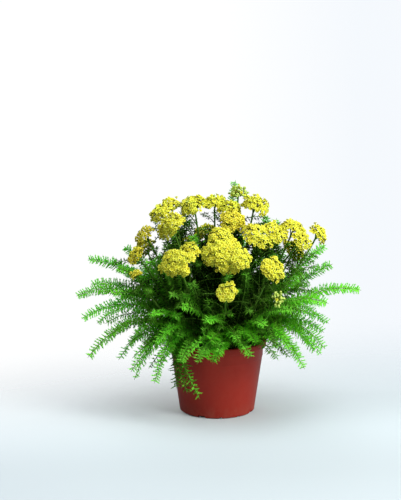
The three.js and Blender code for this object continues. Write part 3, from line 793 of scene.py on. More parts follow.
@dataclass
class Pot:
    """The nursery pot: a moulded shell with a rolled rim, a stacking shoulder and a notched foot ring."""

    height: float = 104
    rim_radius: float = 70
    rim_height: float = 9
    collar_radius: float = 66
    shoulder_radius: float = 64.5
    shoulder_z: float = 80
    shoulder_step: tuple[float, float] = (0.6, 1.0)
    foot_radius: float = 53
    foot_bevel: float = 2
    wall: float = 1.8
    base_z: float = 3
    base_thick: float = 2.2
    ring_width: float = 6
    boss_radius: float = 13
    lip: float = 1.4  # the radius that the rim's top edges are rounded to
    chamfer: float = 0.5  # on the edges that stand on the ground
    sides: int = 144
    sharp_angle: float = 38  # degrees; its edges look sharp past this
    notches: tuple[tuple[int, float, float, float], ...] = (
        # how many, the first one's angle in degrees, width, height
        (4, -25, 11, 3.6), (4, 5, 4, 2.4), (4, 35, 4, 2.4),
    )

    @property
    def floor(self) -> float:
        """Height of its floor inside."""
        return self.base_z + self.base_thick

    @property
    def ring_inside(self) -> float:
        """Inner radius of its foot ring."""
        return self.foot_radius - self.ring_width

    def outer(self, z: float) -> float:
        """Radius of its outside below the shoulder."""
        return self.foot_radius + (self.shoulder_radius - self.foot_radius) * z / self.shoulder_z

    def inner(self, z: float) -> float:
        """Radius of its inside.

        Args:
            z: At this height.

        Returns:
            The radius.
        """
        rise = max(0.0, z - self.shoulder_z) / (self.height - self.shoulder_z)
        widening = rise * (self.collar_radius - self.shoulder_radius)
        return self.outer(min(z, self.shoulder_z)) - self.wall + widening

    def outline(self) -> list[tuple[float, float]]:
        """Its section, from the pad under its middle round to its floor inside.

        Returns:
            The radius and height of each corner.
        """

        def bend(r: float, z: float, radius: float, first: float, count: int) -> list[tuple[float, float]]:
            """A quarter turn about (r, z), from an angle in degrees on, anticlockwise."""
            angles = np.radians(first + np.linspace(0, 90, count))
            return [(r + radius * math.cos(a), z + radius * math.sin(a)) for a in angles]

        under_rim = self.height - self.rim_height
        step_out, step_up = self.shoulder_step
        inside = self.inner(self.height)
        above, below = self.shoulder_z + 1, self.shoulder_z - 1
        return [
            (self.boss_radius - self.chamfer, 0), (self.boss_radius, self.chamfer),
            (self.boss_radius, self.base_z), (self.ring_inside, self.base_z),
            (self.ring_inside, self.chamfer), (self.ring_inside + self.chamfer, 0),
            (self.foot_radius - self.foot_bevel, 0), (self.outer(self.foot_bevel), self.foot_bevel),
            *((self.outer(z), z) for z in np.linspace(4, below, 12)),
            (self.shoulder_radius, self.shoulder_z),
            (self.shoulder_radius + step_out, self.shoulder_z + step_up),
            (self.collar_radius - 0.4, under_rim - 0.8), (self.collar_radius, under_rim),
            *bend(self.rim_radius - 1, under_rim + 1, 1, -90, 4),
            *bend(self.rim_radius - self.lip, self.height - self.lip, self.lip, 0, 5),
            *bend(inside + self.lip, self.height - self.lip, self.lip, 90, 5),
            *((self.inner(z), z) for z in (92, above, below, 40, self.floor + 2)),
            (self.inner(self.floor) - 2, self.floor),
        ]

    def shell(self) -> bpy.types.Object:
        """Its section turned about the axis, without the notches.

        Returns:
            The object.
        """
        rings = [circle(r, self.sides, z) for r, z in self.outline()]
        form = closed_form(Tissue.STALK, rings)
        return object_from("pot_shell", form.points, form.faces)

    def notch_places(self) -> Iterator[tuple[float, float, float]]:
        """The drain notches.

        Yields:
            Each one's angle round the pot, its width and its height.
        """
        for count, first, width, height in self.notches:
            for angle in np.radians(first - 90 + 360 / count * np.arange(count)):
                yield float(angle), width, height

    def cutters(self) -> bpy.types.Object:
        """Boxes that cut the drain notches.

        Returns:
            One object with all the boxes.
        """
        points, faces = [], []
        corners = np.array([(x, y, z) for x in (-1, 1) for y in (-1, 1) for z in (-1, 1)], float)
        quads = [(0, 1, 3, 2), (4, 6, 7, 5), (0, 4, 5, 1), (2, 3, 7, 6), (0, 2, 6, 4), (1, 5, 7, 3)]
        for angle, width, height in self.notch_places():
            box = corners * (2 * self.ring_width, width / 2, height) + (self.foot_radius, 0, 0)
            start = len(corners) * len(points)
            points.append(box @ about_z(angle).T)
            for a, b, c, d in quads:
                faces += [(start + a, start + b, start + c), (start + a, start + c, start + d)]
        return object_from("notch_cutters", np.vstack(points), np.array(faces))

    def build(self, finish: bpy.types.Material) -> None:
        """Makes the pot.

        Args:
            finish: Its plastic.
        """
        pot, cutters = self.shell(), self.cutters()
        cut = pot.modifiers.new("notches", "BOOLEAN")
        cut.operation, cut.solver, cut.object = "DIFFERENCE", "EXACT", cutters
        view = bpy.context.evaluated_depsgraph_get()
        plain = pot.data
        pot.data = bpy.data.meshes.new_from_object(pot.evaluated_get(view))
        pot.modifiers.clear()
        for spare in (cutters.data, plain):
            bpy.data.meshes.remove(spare)
        pot.data.name = "pot_shell"
        pot.data.shade_smooth()
        pot.data.set_sharp_from_angle(angle=math.radians(self.sharp_angle))
        pot.data.materials.append(finish)
        settle_piece(pot, "pot", "pot")


@dataclass
class Compost:
    """The compost: a filled body with a rough, crumbly top."""

    pot: Pot
    top: float = 92
    relief: float = 1.0
    waves: tuple[float, float] = (0.21, 0.17)
    fit: float = 0.35
    rings: int = 32
    sides: int = 96
    roughness: float = 0.45  # how far the points of its top stray up and down
    crumbs: int = 320
    fibres: int = 70
    fibre_length: float = 14  # as a share of its thickness
    bare_edge: float = 4  # crumbs keep this far from the wall
    sinking: float = 0.4  # how high a crumb's middle lies, as a share of its height

    def surface(self, x: Array, y: Array) -> Array:
        """Height of its surface, without the crumbs."""
        return self.top + self.relief * (np.sin(x * self.waves[0] + 1) * np.cos(y * self.waves[1]) - 0.4)

    def build(self, finish: bpy.types.Material) -> None:
        """Makes the compost.

        Args:
            finish: Its material.
        """
        rng = np.random.default_rng(92)
        edge = self.pot.inner(self.top) - self.fit - 0.3
        levels = (self.pot.floor + self.fit, self.pot.shoulder_z)
        rings = [circle(self.pot.inner(z) - 1 - self.fit, self.sides, z) for z in levels]
        for share in np.linspace(1, 1 / self.rings, self.rings):
            ring = circle(edge * share, self.sides)
            rough = rng.normal(0, self.roughness, self.sides) * (share < 0.995)
            ring[:, 2] = self.surface(ring[:, 0], ring[:, 1]) + rough
            rings.append(ring)
        form = closed_form(Tissue.STALK, rings)
        laid = [(form.points, form.faces), *self.litter(edge - self.bare_edge, rng)]
        # dark crumbs in the drain notches stand in for the shade inside them
        laid.append(self.notch_shade_crumbs(np.random.default_rng(36)))
        starts = np.cumsum([0] + [len(points) for points, _ in laid[:-1]])
        faces = [part + start for (_, part), start in zip(laid, starts)]
        obj = object_from("compost_body", np.vstack([points for points, _ in laid]), np.vstack(faces))
        obj.data.materials.append(finish)
        settle_piece(obj, "compost", "compost")

    def litter(self, edge: float, rng: np.random.Generator) -> list[tuple[Array, Array]]:
        """Crumbs and fibres that lie on the compost.

        Args:
            edge: How far from the axis they lie.
            rng: Draws their sizes and places.

        Returns:
            The points and triangles of the crumbs, then of the fibres.
        """
        crumb = self.crumb(rng)
        crumb_sizes = rng.uniform(0.7, 2.2, (self.crumbs, 1)) * rng.uniform(0.6, 1.2, (self.crumbs, 3))
        fibre = self.crumb(rng)
        fibre_sizes = rng.uniform(0.25, 0.5, (self.fibres, 3)) * (self.fibre_length, 1, 1)
        laid = []
        for lump, sizes in ((crumb, crumb_sizes), (fibre, fibre_sizes)):
            radius = edge * np.sqrt(rng.random(len(sizes)))
            angle = rng.uniform(0, 2 * math.pi, len(sizes))
            x, y = radius * np.cos(angle), radius * np.sin(angle)
            turn = rng.uniform(0, 2 * math.pi, len(sizes))
            places = np.column_stack([x, y, self.surface(x, y) + sizes[:, 2] * self.sinking])
            laid.append(copied(*lump, about_z(turn) * sizes[:, None], places))
        return laid

    def notch_shade_crumbs(self, rng: np.random.Generator) -> tuple[Array, Array]:
        """Dark compost crumbs in the drain notches, inside the foot ring's bevelled face, standing in for the
        shade inside them.

        Args:
            rng: Draws their sizes and places.

        Returns:
            Their points and their triangles.
        """
        sizes, places = [], []
        for angle, width, height in self.pot.notch_places():
            count = 2 + round(1.1 * width)
            reach = self.pot.ring_inside - 1 + rng.uniform(0, 3.6, count)
            aside = rng.uniform(-1, 1, count) * (width / 2 - 1)
            level = rng.uniform(0.4, 0.62, count) * height
            out, across = (math.cos(angle), math.sin(angle)), (-math.sin(angle), math.cos(angle))
            flat = np.outer(reach, out) + np.outer(aside, across)
            places.append(np.column_stack([flat, level]))
            breadth = rng.uniform(0.9, 1.3, (count, 2))
            sizes.append(np.column_stack([breadth, rng.uniform(0.5, 0.62, count) * height]))
        turn = rng.uniform(0, 2 * math.pi, sum(map(len, sizes)))
        frames = about_z(turn) * np.vstack(sizes)[:, None]
        return copied(*self.crumb(rng), frames, np.vstack(places))

    @staticmethod
    def crumb(rng: np.random.Generator) -> tuple[Array, Array]:
        """A rough lump of about unit radius: its points and its triangles."""
        form = closed_form(Tissue.STALK, [circle(0.8, 5, -0.5), circle(0.9, 5, 0.3, 0.5)])
        return form.points * rng.uniform(0.75, 1.2, form.points.shape), form.faces


# ---------------------------------------------------------------------------------------- the layout


@dataclass(frozen=True)
class LeafKind:
    """A kind of feathery leaf, as the solids have it."""

    width: float
    bare: float  # the share of it, from its root, that has no leaflets


FROND = LeafKind(width=10.5, bare=0.2)
STEM_LEAF = LeafKind(width=10, bare=0.1)
TILT_UP, TILT_DOWN = 0.62, 0.4  # radians that pinnae tip up and down by, in turn
OVERSHOOT = 0.35  # how far a rib's tip reaches past its curve, as a share of the leaf's width
TRIES = 60  # how many positions a leaf may try


@dataclass(frozen=True)
class Leaf:
    """A feathery leaf on a planar curve."""

    curve: Curve
    kind: LeafKind
    width: float
    roll: float = 0.0

    @property
    def tip(self) -> Array:
        """The end of its rib."""
        return self.curve.at(1.0) + self.curve.along(1.0) * self.width * OVERSHOOT

    def frame(self, place: Array) -> tuple[Array, Array, Array, Array]:
        """Where the leaf lies at places from 0 to 1.

        Args:
            place: The places.

        Returns:
            For each, the point, the direction along the leaf, to its side and up from its face.
        """
        first, second, _, last = self.curve.corners
        flat = unit(np.cross(second - first, last - first))
        along = self.curve.along(place)
        side = turned(np.broadcast_to(flat, along.shape), along, math.radians(self.roll))
        return self.curve.at(place), along, side, np.cross(side, along)


@dataclass(frozen=True)
class Foliage:
    """How finely a leaf is cut, how its pinnae and lobes stand, and where it gets painted light and shade."""

    spacing: float = 2.6  # from one pair of pinnae to the next, on average
    crowding: float = 0.8  # below 1, the pairs stand closer together towards the leaf's tip
    fewest: int = 6  # pairs of pinnae
    pairs: int = 2  # of lobes on a pinna
    lobe: float = 3.6
    lobe_width: float = 1.55
    lobe_span: tuple[float, float] = (0.12, 0.66)  # where on a pinna its lobes stand
    lobe_alone: float = 0.35  # and where its only pair stands
    lobe_rise: float = 1.1  # radians that lobes stand up or down by at most
    pinna_width: float = 1.85
    open: float = 0.75  # radians between a lobe and its pinna
    sweep: float = 0.36  # of a pinna towards the leaf's tip
    fullness: float = 1.08
    wave: tuple[float, float] = (0.2, 0.62)  # a leaf's outline is this part of half a sine wave
    wave_power: float = 0.65  # to this power
    rib: float = 0.95
    rib_taper: float = 0.5
    tilt_spread: float = 0.3
    turn_spread: float = 0.12
    tone_spread: float = 0.07
    tip_light: float = 0.9  # how pale its tips are: painted light, standing in for the back light shining through them
    core: tuple[float, float, float] = (8, -22, 195)  # painted shade: leaves are darker about here, deep inside the plant
    core_reach: tuple[float, float, float] = (118, 118, 110)
    core_shade: float = 1.2
    core_tip_shade: float = 1.5  # and painted shade there takes away their tips' painted light
    near_pot: float = 35  # leaves that hang this close beside the pot get painted shade too
    pot_shade: float = 0.25
    pot_tip_shade: float = 0.5

    def grow(self, stock: Stock, leaf: Leaf, tone: float, rng: np.random.Generator, room: "Room") -> None:
        """Adds a leaf's rib, pinnae and lobes.

        Args:
            stock: Where it goes.
            leaf: The leaf.
            tone: Its tone.
            rng: Its random draws.
            room: The space that it may use.
        """
        bare = leaf.kind.bare
        size = leaf.width / leaf.kind.width
        count = max(self.fewest, round(leaf.curve.length * (1 - bare) / self.spacing))
        stations = np.linspace(0, 1, max(self.fewest, count // 2))
        path = np.vstack([leaf.curve.at(stations), leaf.tip])
        radii = self.rib * size * (1 - self.rib_taper * np.append(stations, 1.6))
        stock.tube(path, radii, 4, 0.4 + 0.5 * tone, (0.0, 1.0))
        x = np.repeat(((np.arange(count) + 0.5) / count) ** self.crowding, 2)
        hand = np.tile([-1.0, 1.0], count)[:, None]
        x_here = np.clip(x + rng.normal(0, self.turn_spread / count, len(x)), 0, 1)
        point, along, side, up = leaf.frame(bare + (1 - bare) * x_here)
        share = np.sin(math.pi * (self.wave[0] + self.wave[1] * x)) ** self.wave_power
        raised = np.repeat(np.arange(count), 2) % 2
        tilt = np.where(raised, -TILT_DOWN, TILT_UP) + rng.normal(0, self.tilt_spread, len(x))
        reach = (self.fullness * leaf.width * share * rng.uniform(0.84, 1.12, len(x)))[:, None]
        sweep = self.sweep + rng.normal(0, self.turn_spread, (len(x), 1))
        axis = side * hand * np.cos(tilt)[:, None] + up * np.sin(tilt)[:, None] + along * sweep
        tips = point + axis * reach
        clear = room.off_pot(tips) & room.off_pot(point)
        point, tips, x, share = point[clear], tips[clear], x[clear], share[clear]
        flat = square_to(up[clear], unit(axis[clear]))
        # painted shade: leaves darken towards the plant's core and lose their tips' painted light there
        depth = np.clip(1 - np.linalg.norm((tips - self.core) / self.core_reach, axis=1), 0, 1)
        # painted shade on leaves that hang beside the pot, under its rim
        beside = np.hypot(tips[:, 0], tips[:, 1]) < room.pot.rim_radius + self.near_pot
        beside &= tips[:, 2] < room.pot.height - room.pot.rim_height
        tones = tone + rng.normal(0, self.tone_spread, len(x)) - self.core_shade * depth
        tones -= self.pot_shade * beside
        out = x * self.tip_light * (1 - np.clip(self.core_tip_shade * depth, 0, 1)) * (1 - self.pot_tip_shade * beside)
        stock.segments(point, tips, flat, np.full(len(x), self.pinna_width * size), tones, out)
        self.lobes(stock, point, tips, flat, share * size, tones, out, rng)

    def lobes(self, stock: Stock, base: Array, tips: Array, flat: Array, share: Array, tones: Array,
              reach: Array, rng: np.random.Generator) -> None:
        """Adds the lobes of a leaf's pinnae, which stand out to both sides and a little up and down.

        Args:
            stock: Where they go.
            base: Where each pinna starts.
            tips: Where each ends.
            flat: The direction its face looks in.
            share: Its size beside the leaf's largest.
            tones: Its tone.
            reach: How far along the leaf it stands.
            rng: The random draws.
        """
        long = tips - base
        axis = unit(long)
        side = np.cross(flat, axis)
        size = share ** 0.6
        count = len(base)
        places = np.linspace(*self.lobe_span, self.pairs) if self.pairs > 1 else (self.lobe_alone,)
        for place in places:
            for hand in (-1, 1):
                angle = self.open * (1.1 - 0.4 * place) + rng.normal(0, self.turn_spread, count)
                rise = rng.uniform(-self.lobe_rise, self.lobe_rise, count)
                out = side * (hand * np.cos(rise))[:, None] + flat * np.sin(rise)[:, None]
                way = axis * np.cos(angle)[:, None] + out * np.sin(angle)[:, None]
                length = self.lobe * (1.1 - 0.5 * place) * size * rng.uniform(0.75, 1.2, count)
                start = base + long * (place * 0.9 + rng.normal(0, 0.02, (count, 1)))
                face = square_to(flat + 0.3 * out, way)
                tone = tones + rng.normal(0, 0.06, count) + 0.12 * place
                end = start + way * length[:, None]
                stock.segments(start, end, face, self.lobe_width * size, tone, reach)


# A dome's outline is a circle with two waves on it, and its underside is a low cone.
DOME_REACH = 0.97
DOME_WAVES = (0.09, 0.07)
DOME_CONE = 0.14  # its depth, as a share of the dome's radius
AZIMUTH_SPREAD = 0.12
# The clusters of flowers on a dome: how far apart they are at least and at most, that distance as a share
# of the dome's radius, and how far inside the outline they stay, as a share of that distance.
LEAST_PITCH, MOST_PITCH, PITCH_SHARE = 7, 12.8, 0.7
CLUSTER_MARGIN = 0.36
TINY = 1e-9


@dataclass(frozen=True)
class Lobe:
    """One dome of a flower head: part of a sphere with a wavy outline."""

    crown: Array
    radius: float
    half_angle: float
    normal: Array
    across: Array
    ahead: Array
    sphere: float
    middle: Array
    phases: tuple[float, float]
    pitch: float  # between the clusters of flowers
    apex: Array  # its low point underneath

    @classmethod
    def lay(cls, row: tuple[float, ...], seed: int) -> "Lobe":
        """Lays a lobe.

        Args:
            row: x, y and z of its top, radius, lean from upright in degrees, half-angle of the dome.
            seed: Of its outline.

        Returns:
            The lobe.
        """
        x, y, z, radius, lean, half_angle = row
        draws = Draws(seed)
        azimuth = math.atan2(y, x) + draws.signed(AZIMUTH_SPREAD)
        tilt = math.radians(lean)
        aside = math.sin(tilt)
        normal = np.array([aside * math.cos(azimuth), aside * math.sin(azimuth), math.cos(tilt)])
        across = unit(np.cross([0, 0, 1], normal))
        sphere = radius / math.sin(half_angle)
        crown = np.array([x, y, z], float)
        phases = (draws.next() * 2 * math.pi, draws.next() * 2 * math.pi)
        pitch = max(LEAST_PITCH, min(MOST_PITCH, radius * PITCH_SHARE))
        depth = sphere * (1 - math.cos(half_angle)) + radius * DOME_CONE
        return cls(crown, radius, half_angle, normal, across, np.cross(normal, across), sphere,
                   crown - normal * sphere, phases, pitch, crown - normal * depth)

    def on_dome(self, places: Array, lift: Array | float = 0.0) -> Array:
        """Points over the dome.

        Args:
            places: Arc lengths from the crown, across and ahead.
            lift: Height over the dome.

        Returns:
            The points.
        """
        return self.middle + self.way_out(places) * (self.sphere + np.asarray(lift, float)[..., None])

    def way_out(self, places: Array) -> Array:
        """Directions square to the dome.

        Args:
            places: Arc lengths from the crown, across and ahead.

        Returns:
            A direction for each place.
        """
        arc = np.linalg.norm(places, axis=-1, keepdims=True)
        flat = np.where(arc > TINY, np.sin(arc / self.sphere) / np.maximum(arc, TINY), 0)
        return (self.across * flat * places[..., :1] + self.ahead * flat * places[..., 1:]
                + self.normal * np.cos(arc / self.sphere))

    def reach(self, places: Array) -> Array:
        """How far the dome reaches from its crown.

        Args:
            places: Arc lengths from the crown, across and ahead.

        Returns:
            Its reach in the direction of each place.
        """
        angle = np.arctan2(places[..., 1], places[..., 0])
        second, third = (height * np.sin(order * angle + phase)
                         for order, height, phase in zip((2, 3), DOME_WAVES, self.phases))
        return self.sphere * self.half_angle * (DOME_REACH + (second + third))

    def honeycomb(self, pitch: float, margin: float) -> Array:
        """Places of a honeycomb over the dome.

        Args:
            pitch: Between neighbours.
            margin: How far inside the outline they stay.

        Returns:
            The places.
        """
        span = math.ceil(self.sphere * self.half_angle * 1.3 / pitch) + 1
        q, r = np.meshgrid(np.arange(-span, span + 1), np.arange(-span, span + 1), indexing="ij")
        places = np.column_stack([(q + r / 2).ravel(), (r * math.sqrt(0.75)).ravel()]) * pitch
        arc = np.linalg.norm(places, axis=1)
        return places[(arc < self.reach(places) - margin) | (arc < TINY)]

    def clusters(self) -> Array:
        """Places of the middles of its clusters of flowers."""
        return self.honeycomb(self.pitch, CLUSTER_MARGIN * self.pitch)

    def holds(self, points: Array) -> Array:
        """Whether points lie under its dome.

        Args:
            points: The points.

        Returns:
            Truth for each point.
        """
        way = points - self.middle
        distance = np.linalg.norm(way, axis=1)
        slant = np.arccos(np.clip(way @ self.normal / np.maximum(distance, TINY), -1, 1))
        return (distance < self.sphere) & (slant < self.half_angle)


STEMS: dict[str, tuple[tuple[float, ...], ...]] = {
    # x, y, z of the dome's top, radius, lean in degrees, half-angle of the dome in radians
    "left_high": ((-82, 8, 290, 17, 34, 0.85), (-67, 20, 299, 10, 20, 0.9)),
    "left_top": ((-36, 0, 305, 18, 16, 1.0),),
    "left_inner": ((-70, -36, 279, 21, 40, 0.85),),
    "left_side": ((-106, -16, 257, 15, 52, 0.85),),
    "left_low": ((-117, -37, 233, 13, 60, 0.9),),
    "left_bud": ((-116, -62, 209, 8, 55, 1.0),),
    "front_left": ((-61, -92, 236, 23, 52, 1.1), (-40, -79, 249, 12, 42, 1.1)),
    "front_middle": ((8, -84, 247, 28, 50, 1.15), (33, -95, 238, 14, 62, 1.1)),
    "front_low": ((11, -112, 196, 13, 62, 1.1),),
    "front_right": ((77, -88, 225, 16, 52, 1.0),),
    "top_middle": ((-4, 18, 303, 14, 6, 0.8), (19, 14, 296, 15, 14, 0.8)),
    "top_front": ((24, -27, 285, 18, 26, 0.85),),
    "top_right": ((55, 4, 303, 17, 18, 1.0),),
    "summit_bud": ((31, 36, 316, 11, 10, 1.1),),
    "right_front": ((60, -50, 268, 22, 34, 0.85), (84, -36, 267, 17, 40, 0.85)),
    "right_inner": ((112, -10, 269, 18, 36, 1.0), (121, -32, 255, 16, 54, 1.0)),
    "right_side": ((147, 4, 258, 14, 46, 0.9),),
    "right_bud": ((83, -106, 184, 9, 60, 1.0),),
    "back_left_side": ((-108, 62, 226, 16, 52, 0.9),),
    "back_left": ((-52, 104, 222, 19, 52, 0.9),),
    "back_middle": ((12, 116, 228, 20, 48, 0.9),),
    "back_inner": ((-16, 66, 252, 17, 26, 0.9),),
    "back_right": ((66, 98, 226, 18, 50, 0.9),),
    "back_right_side": ((116, 66, 222, 17, 52, 0.9),),
}

RISING: dict[str, tuple[tuple[float, ...], ...]] = {
    # domes that rise over those of the solids, as in STEMS
    "front_middle": ((5, -64, 264, 15, 40, 0.9),),
}

TUFTS: dict[str, tuple[tuple[float, float], tuple[tuple[float, ...], ...]]] = {
    # the crown's x and y; for each frond, its tip's x, y and z, its lift, swing and roll
    "left": ((-38, 2), (
        (-179, -8, 220, 66, 6, 55), (-197, 2, 166, 74, -8, -50), (-140, 18, 70, 74, 0, 20),
        (-131, 40, 228, 34, -14, 40), (-172, -32, 193, 62, 4, 60))),
    "left_front": ((-39, -31), (
        (-186, -44, 144, 78, -4, 62), (-178, -62, 94, 92, 0, -40), (-114, -74, 66, 92, 4, 30),
        (-86, -92, 66, 84, 6, -25))),
    "front_left": ((-21, -36), (
        (-40, -92, 50, 80, -60, 20), (-50, -100, 96, 52, 10, -15), (-48, -92, 186, 40, 24, 30),
        (-84, -104, 122, 66, 8, 25))),
    "front": ((14, -46), (
        (-6, -100, 96, 44, 8, 5), (-20, -102, 108, 50, 12, -10), (44, -98, 104, 42, -8, 10),
        (26, -112, 130, 40, -12, -20), (-20, -118, 156, 40, 10, 18))),
    "right_front": ((36, -34), (
        (120, -56, 76, 80, -10, 30), (146, -40, 124, 62, 8, -45), (150, -56, 168, 66, -8, 55),
        (98, -92, 110, 66, -2, -25), (62, -112, 150, 44, -14, 22))),
    "right": ((50, -8), (
        (200, -8, 176, 62, -4, 55), (160, 2, 210, 44, 4, -55), (153, 30, 232, 40, 6, 40),
        (158, 24, 122, 62, 8, -30), (136, 50, 84, 84, 14, 25))),
    "back_right": ((30, 38), (
        (128, 96, 172, 64, 0, 30), (150, 78, 120, 70, -8, -30), (96, 126, 92, 88, -4, 20),
        (78, 112, 190, 46, 6, -25), (72, 62, 268, 30, 4, 35))),
    "back": ((-9, 43), (
        (8, 170, 150, 74, 4, 25), (-34, 158, 104, 86, 6, 15), (-24, 136, 194, 54, 4, -30),
        (26, 56, 320, 10, 0, 30))),
    "back_left": ((-29, 27), (
        (-118, 104, 170, 64, 0, 30), (-172, 50, 116, 80, -4, -35), (-126, 98, 74, 92, -6, -25),
        (-150, 76, 134, 80, 6, 25), (-84, 100, 206, 44, -6, 30))),
}


CROWN_TOP = 98.0  # height of the tufts' crowns

BESIDE: dict[str, tuple[tuple[float, ...], ...]] = {
    # fronds that hang beside those of the solids, as in TUFTS, with their tone at the end
    "front_left": ((-43, -93, 52, 80, -58, 20, 0.7), (-57, -82, 56, 84, -30, -10, 0.7)),
    "front": ((-18, -103, 104, 42, 12, 0, 1.4), (0, -104, 106, 40, 4, 12, 1.35),
              (-10, -106, 126, 36, 6, -8, 1.25)),
    "right_front": ((112, -62, 92, 74, -4, 15, 0.9), (134, -52, 100, 70, 6, -15, 0.9),
                    (52, -92, 121, 44, -10, 10, 1.25), (74, -80, 122, 44, 6, -15, 1.2),
                    (36, -96, 134, 40, 0, 20, 1.25)),
    "right": ((150, -20, 96, 72, -6, 20, 0.85),),
}


class Solid:
    """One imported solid, asked where its corners are."""

    def __init__(self, obj: bpy.types.Object) -> None:
        """Reads the solid.

        Args:
            obj: Its object.
        """
        flat = np.empty(len(obj.data.vertices) * 3, np.float32)
        obj.data.vertices.foreach_get("co", flat)
        self.points = flat.reshape(-1, 3).astype(float) / MM

    def has_corner(self, place: Array, within: float = 0.1) -> bool:
        """Whether it has a corner at a place."""
        return bool(np.min(np.linalg.norm(self.points - place, axis=1)) < within)

    def first_leaf(self, leaves: Iterator[Leaf]) -> Leaf | None:
        """The first of several leaves whose tip is a corner of the solid."""
        return next((leaf for leaf in leaves if self.has_corner(leaf.tip)), None)


@dataclass
class Room:
    """The space that leaves may use: clear of the pot and of the heads' faces, inside the solids' box."""

    pot: Pot
    lobes: list[Lobe]
    low: Array
    high: Array
    margin: float = 6  # inside the box
    gap: float = 3
    above_rim: float = 0.5  # the least clearance of a leaflet there
    beside_rim: float = 0.8
    inside: float = 1  # and from the wall and the compost in the pot
    soil_top: float = 92
    depth: float = 60  # how far in front of a head its face has to be seen from
    shallow: float = 0.6  # and how far behind its crown that starts, as a share of its radius
    sill: float = 6  # how far under the rim leaves may hang at the front
    bare_from: float = 14  # from this x on they stay above this height
    bare_sill: float = 122
    front: tuple[float, float, float] = (0, -0.98, 0.18)
    canopy: tuple[float, float, float] = (190, 150, 205)  # half the width and depth, and the height

    def off_pot(self, points: Array) -> Array:
        """Whether points are clear of the pot's wall and of the compost.

        Args:
            points: The points.

        Returns:
            Truth for each point.
        """
        radius = np.hypot(points[:, 0], points[:, 1])
        height = points[:, 2]
        over = height > self.pot.height + self.above_rim
        outside = radius > self.pot.rim_radius + self.beside_rim
        within = radius < self.pot.inner(self.soil_top) - self.inside
        return over | outside | (within & (height > self.soil_top + self.inside))

    def free(self, points: Array) -> bool:
        """Whether a leaf may run through points.

        Args:
            points: The points.

        Returns:
            Truth where it is clear of everything.
        """
        inside = (points > self.low + self.margin).all() and (points < self.high - self.margin).all()
        inside &= (np.linalg.norm((points - [0, 0, self.soil_top]) / self.canopy, axis=1) < 1).all()
        x, y, z = points.T
        radius = np.hypot(x, y)
        near_rim = (z < self.pot.height + self.gap) & (radius < self.pot.rim_radius + 2 * self.gap)
        in_mouth = (radius < self.pot.inner(self.soil_top) - 2 * self.gap) & (z > self.soil_top + 2)
        sill = np.where(x > self.bare_from, self.bare_sill, self.pot.height - self.sill)
        before_pot = (y < 0) & (np.abs(x) < self.pot.rim_radius) & (z < sill)
        if not inside or (near_rim & ~in_mouth).any() or (before_pot & ~in_mouth).any():
            return False
        looks = ((lobe, look) for lobe in self.lobes for look in (lobe.normal, self.front))
        return not any(self.hides(points, lobe, look) for lobe, look in looks)

    def hides(self, points: Array, lobe: Lobe, look: Array) -> bool:
        """Whether any point stands before a lobe.

        Args:
            points: The points.
            lobe: The lobe.
            look: The direction towards whoever looks at it.

        Returns:
            Truth where one does.
        """
        way = points - lobe.crown
        rise = way @ np.asarray(look)
        aside = np.linalg.norm(way - rise[:, None] * look, axis=1)
        before = (rise > -self.shallow * lobe.radius) & (rise < self.depth)
        return bool((before & (aside < lobe.radius + self.gap)).any())


# ------------------------------------------------------------------------------- fronds, stems, heads


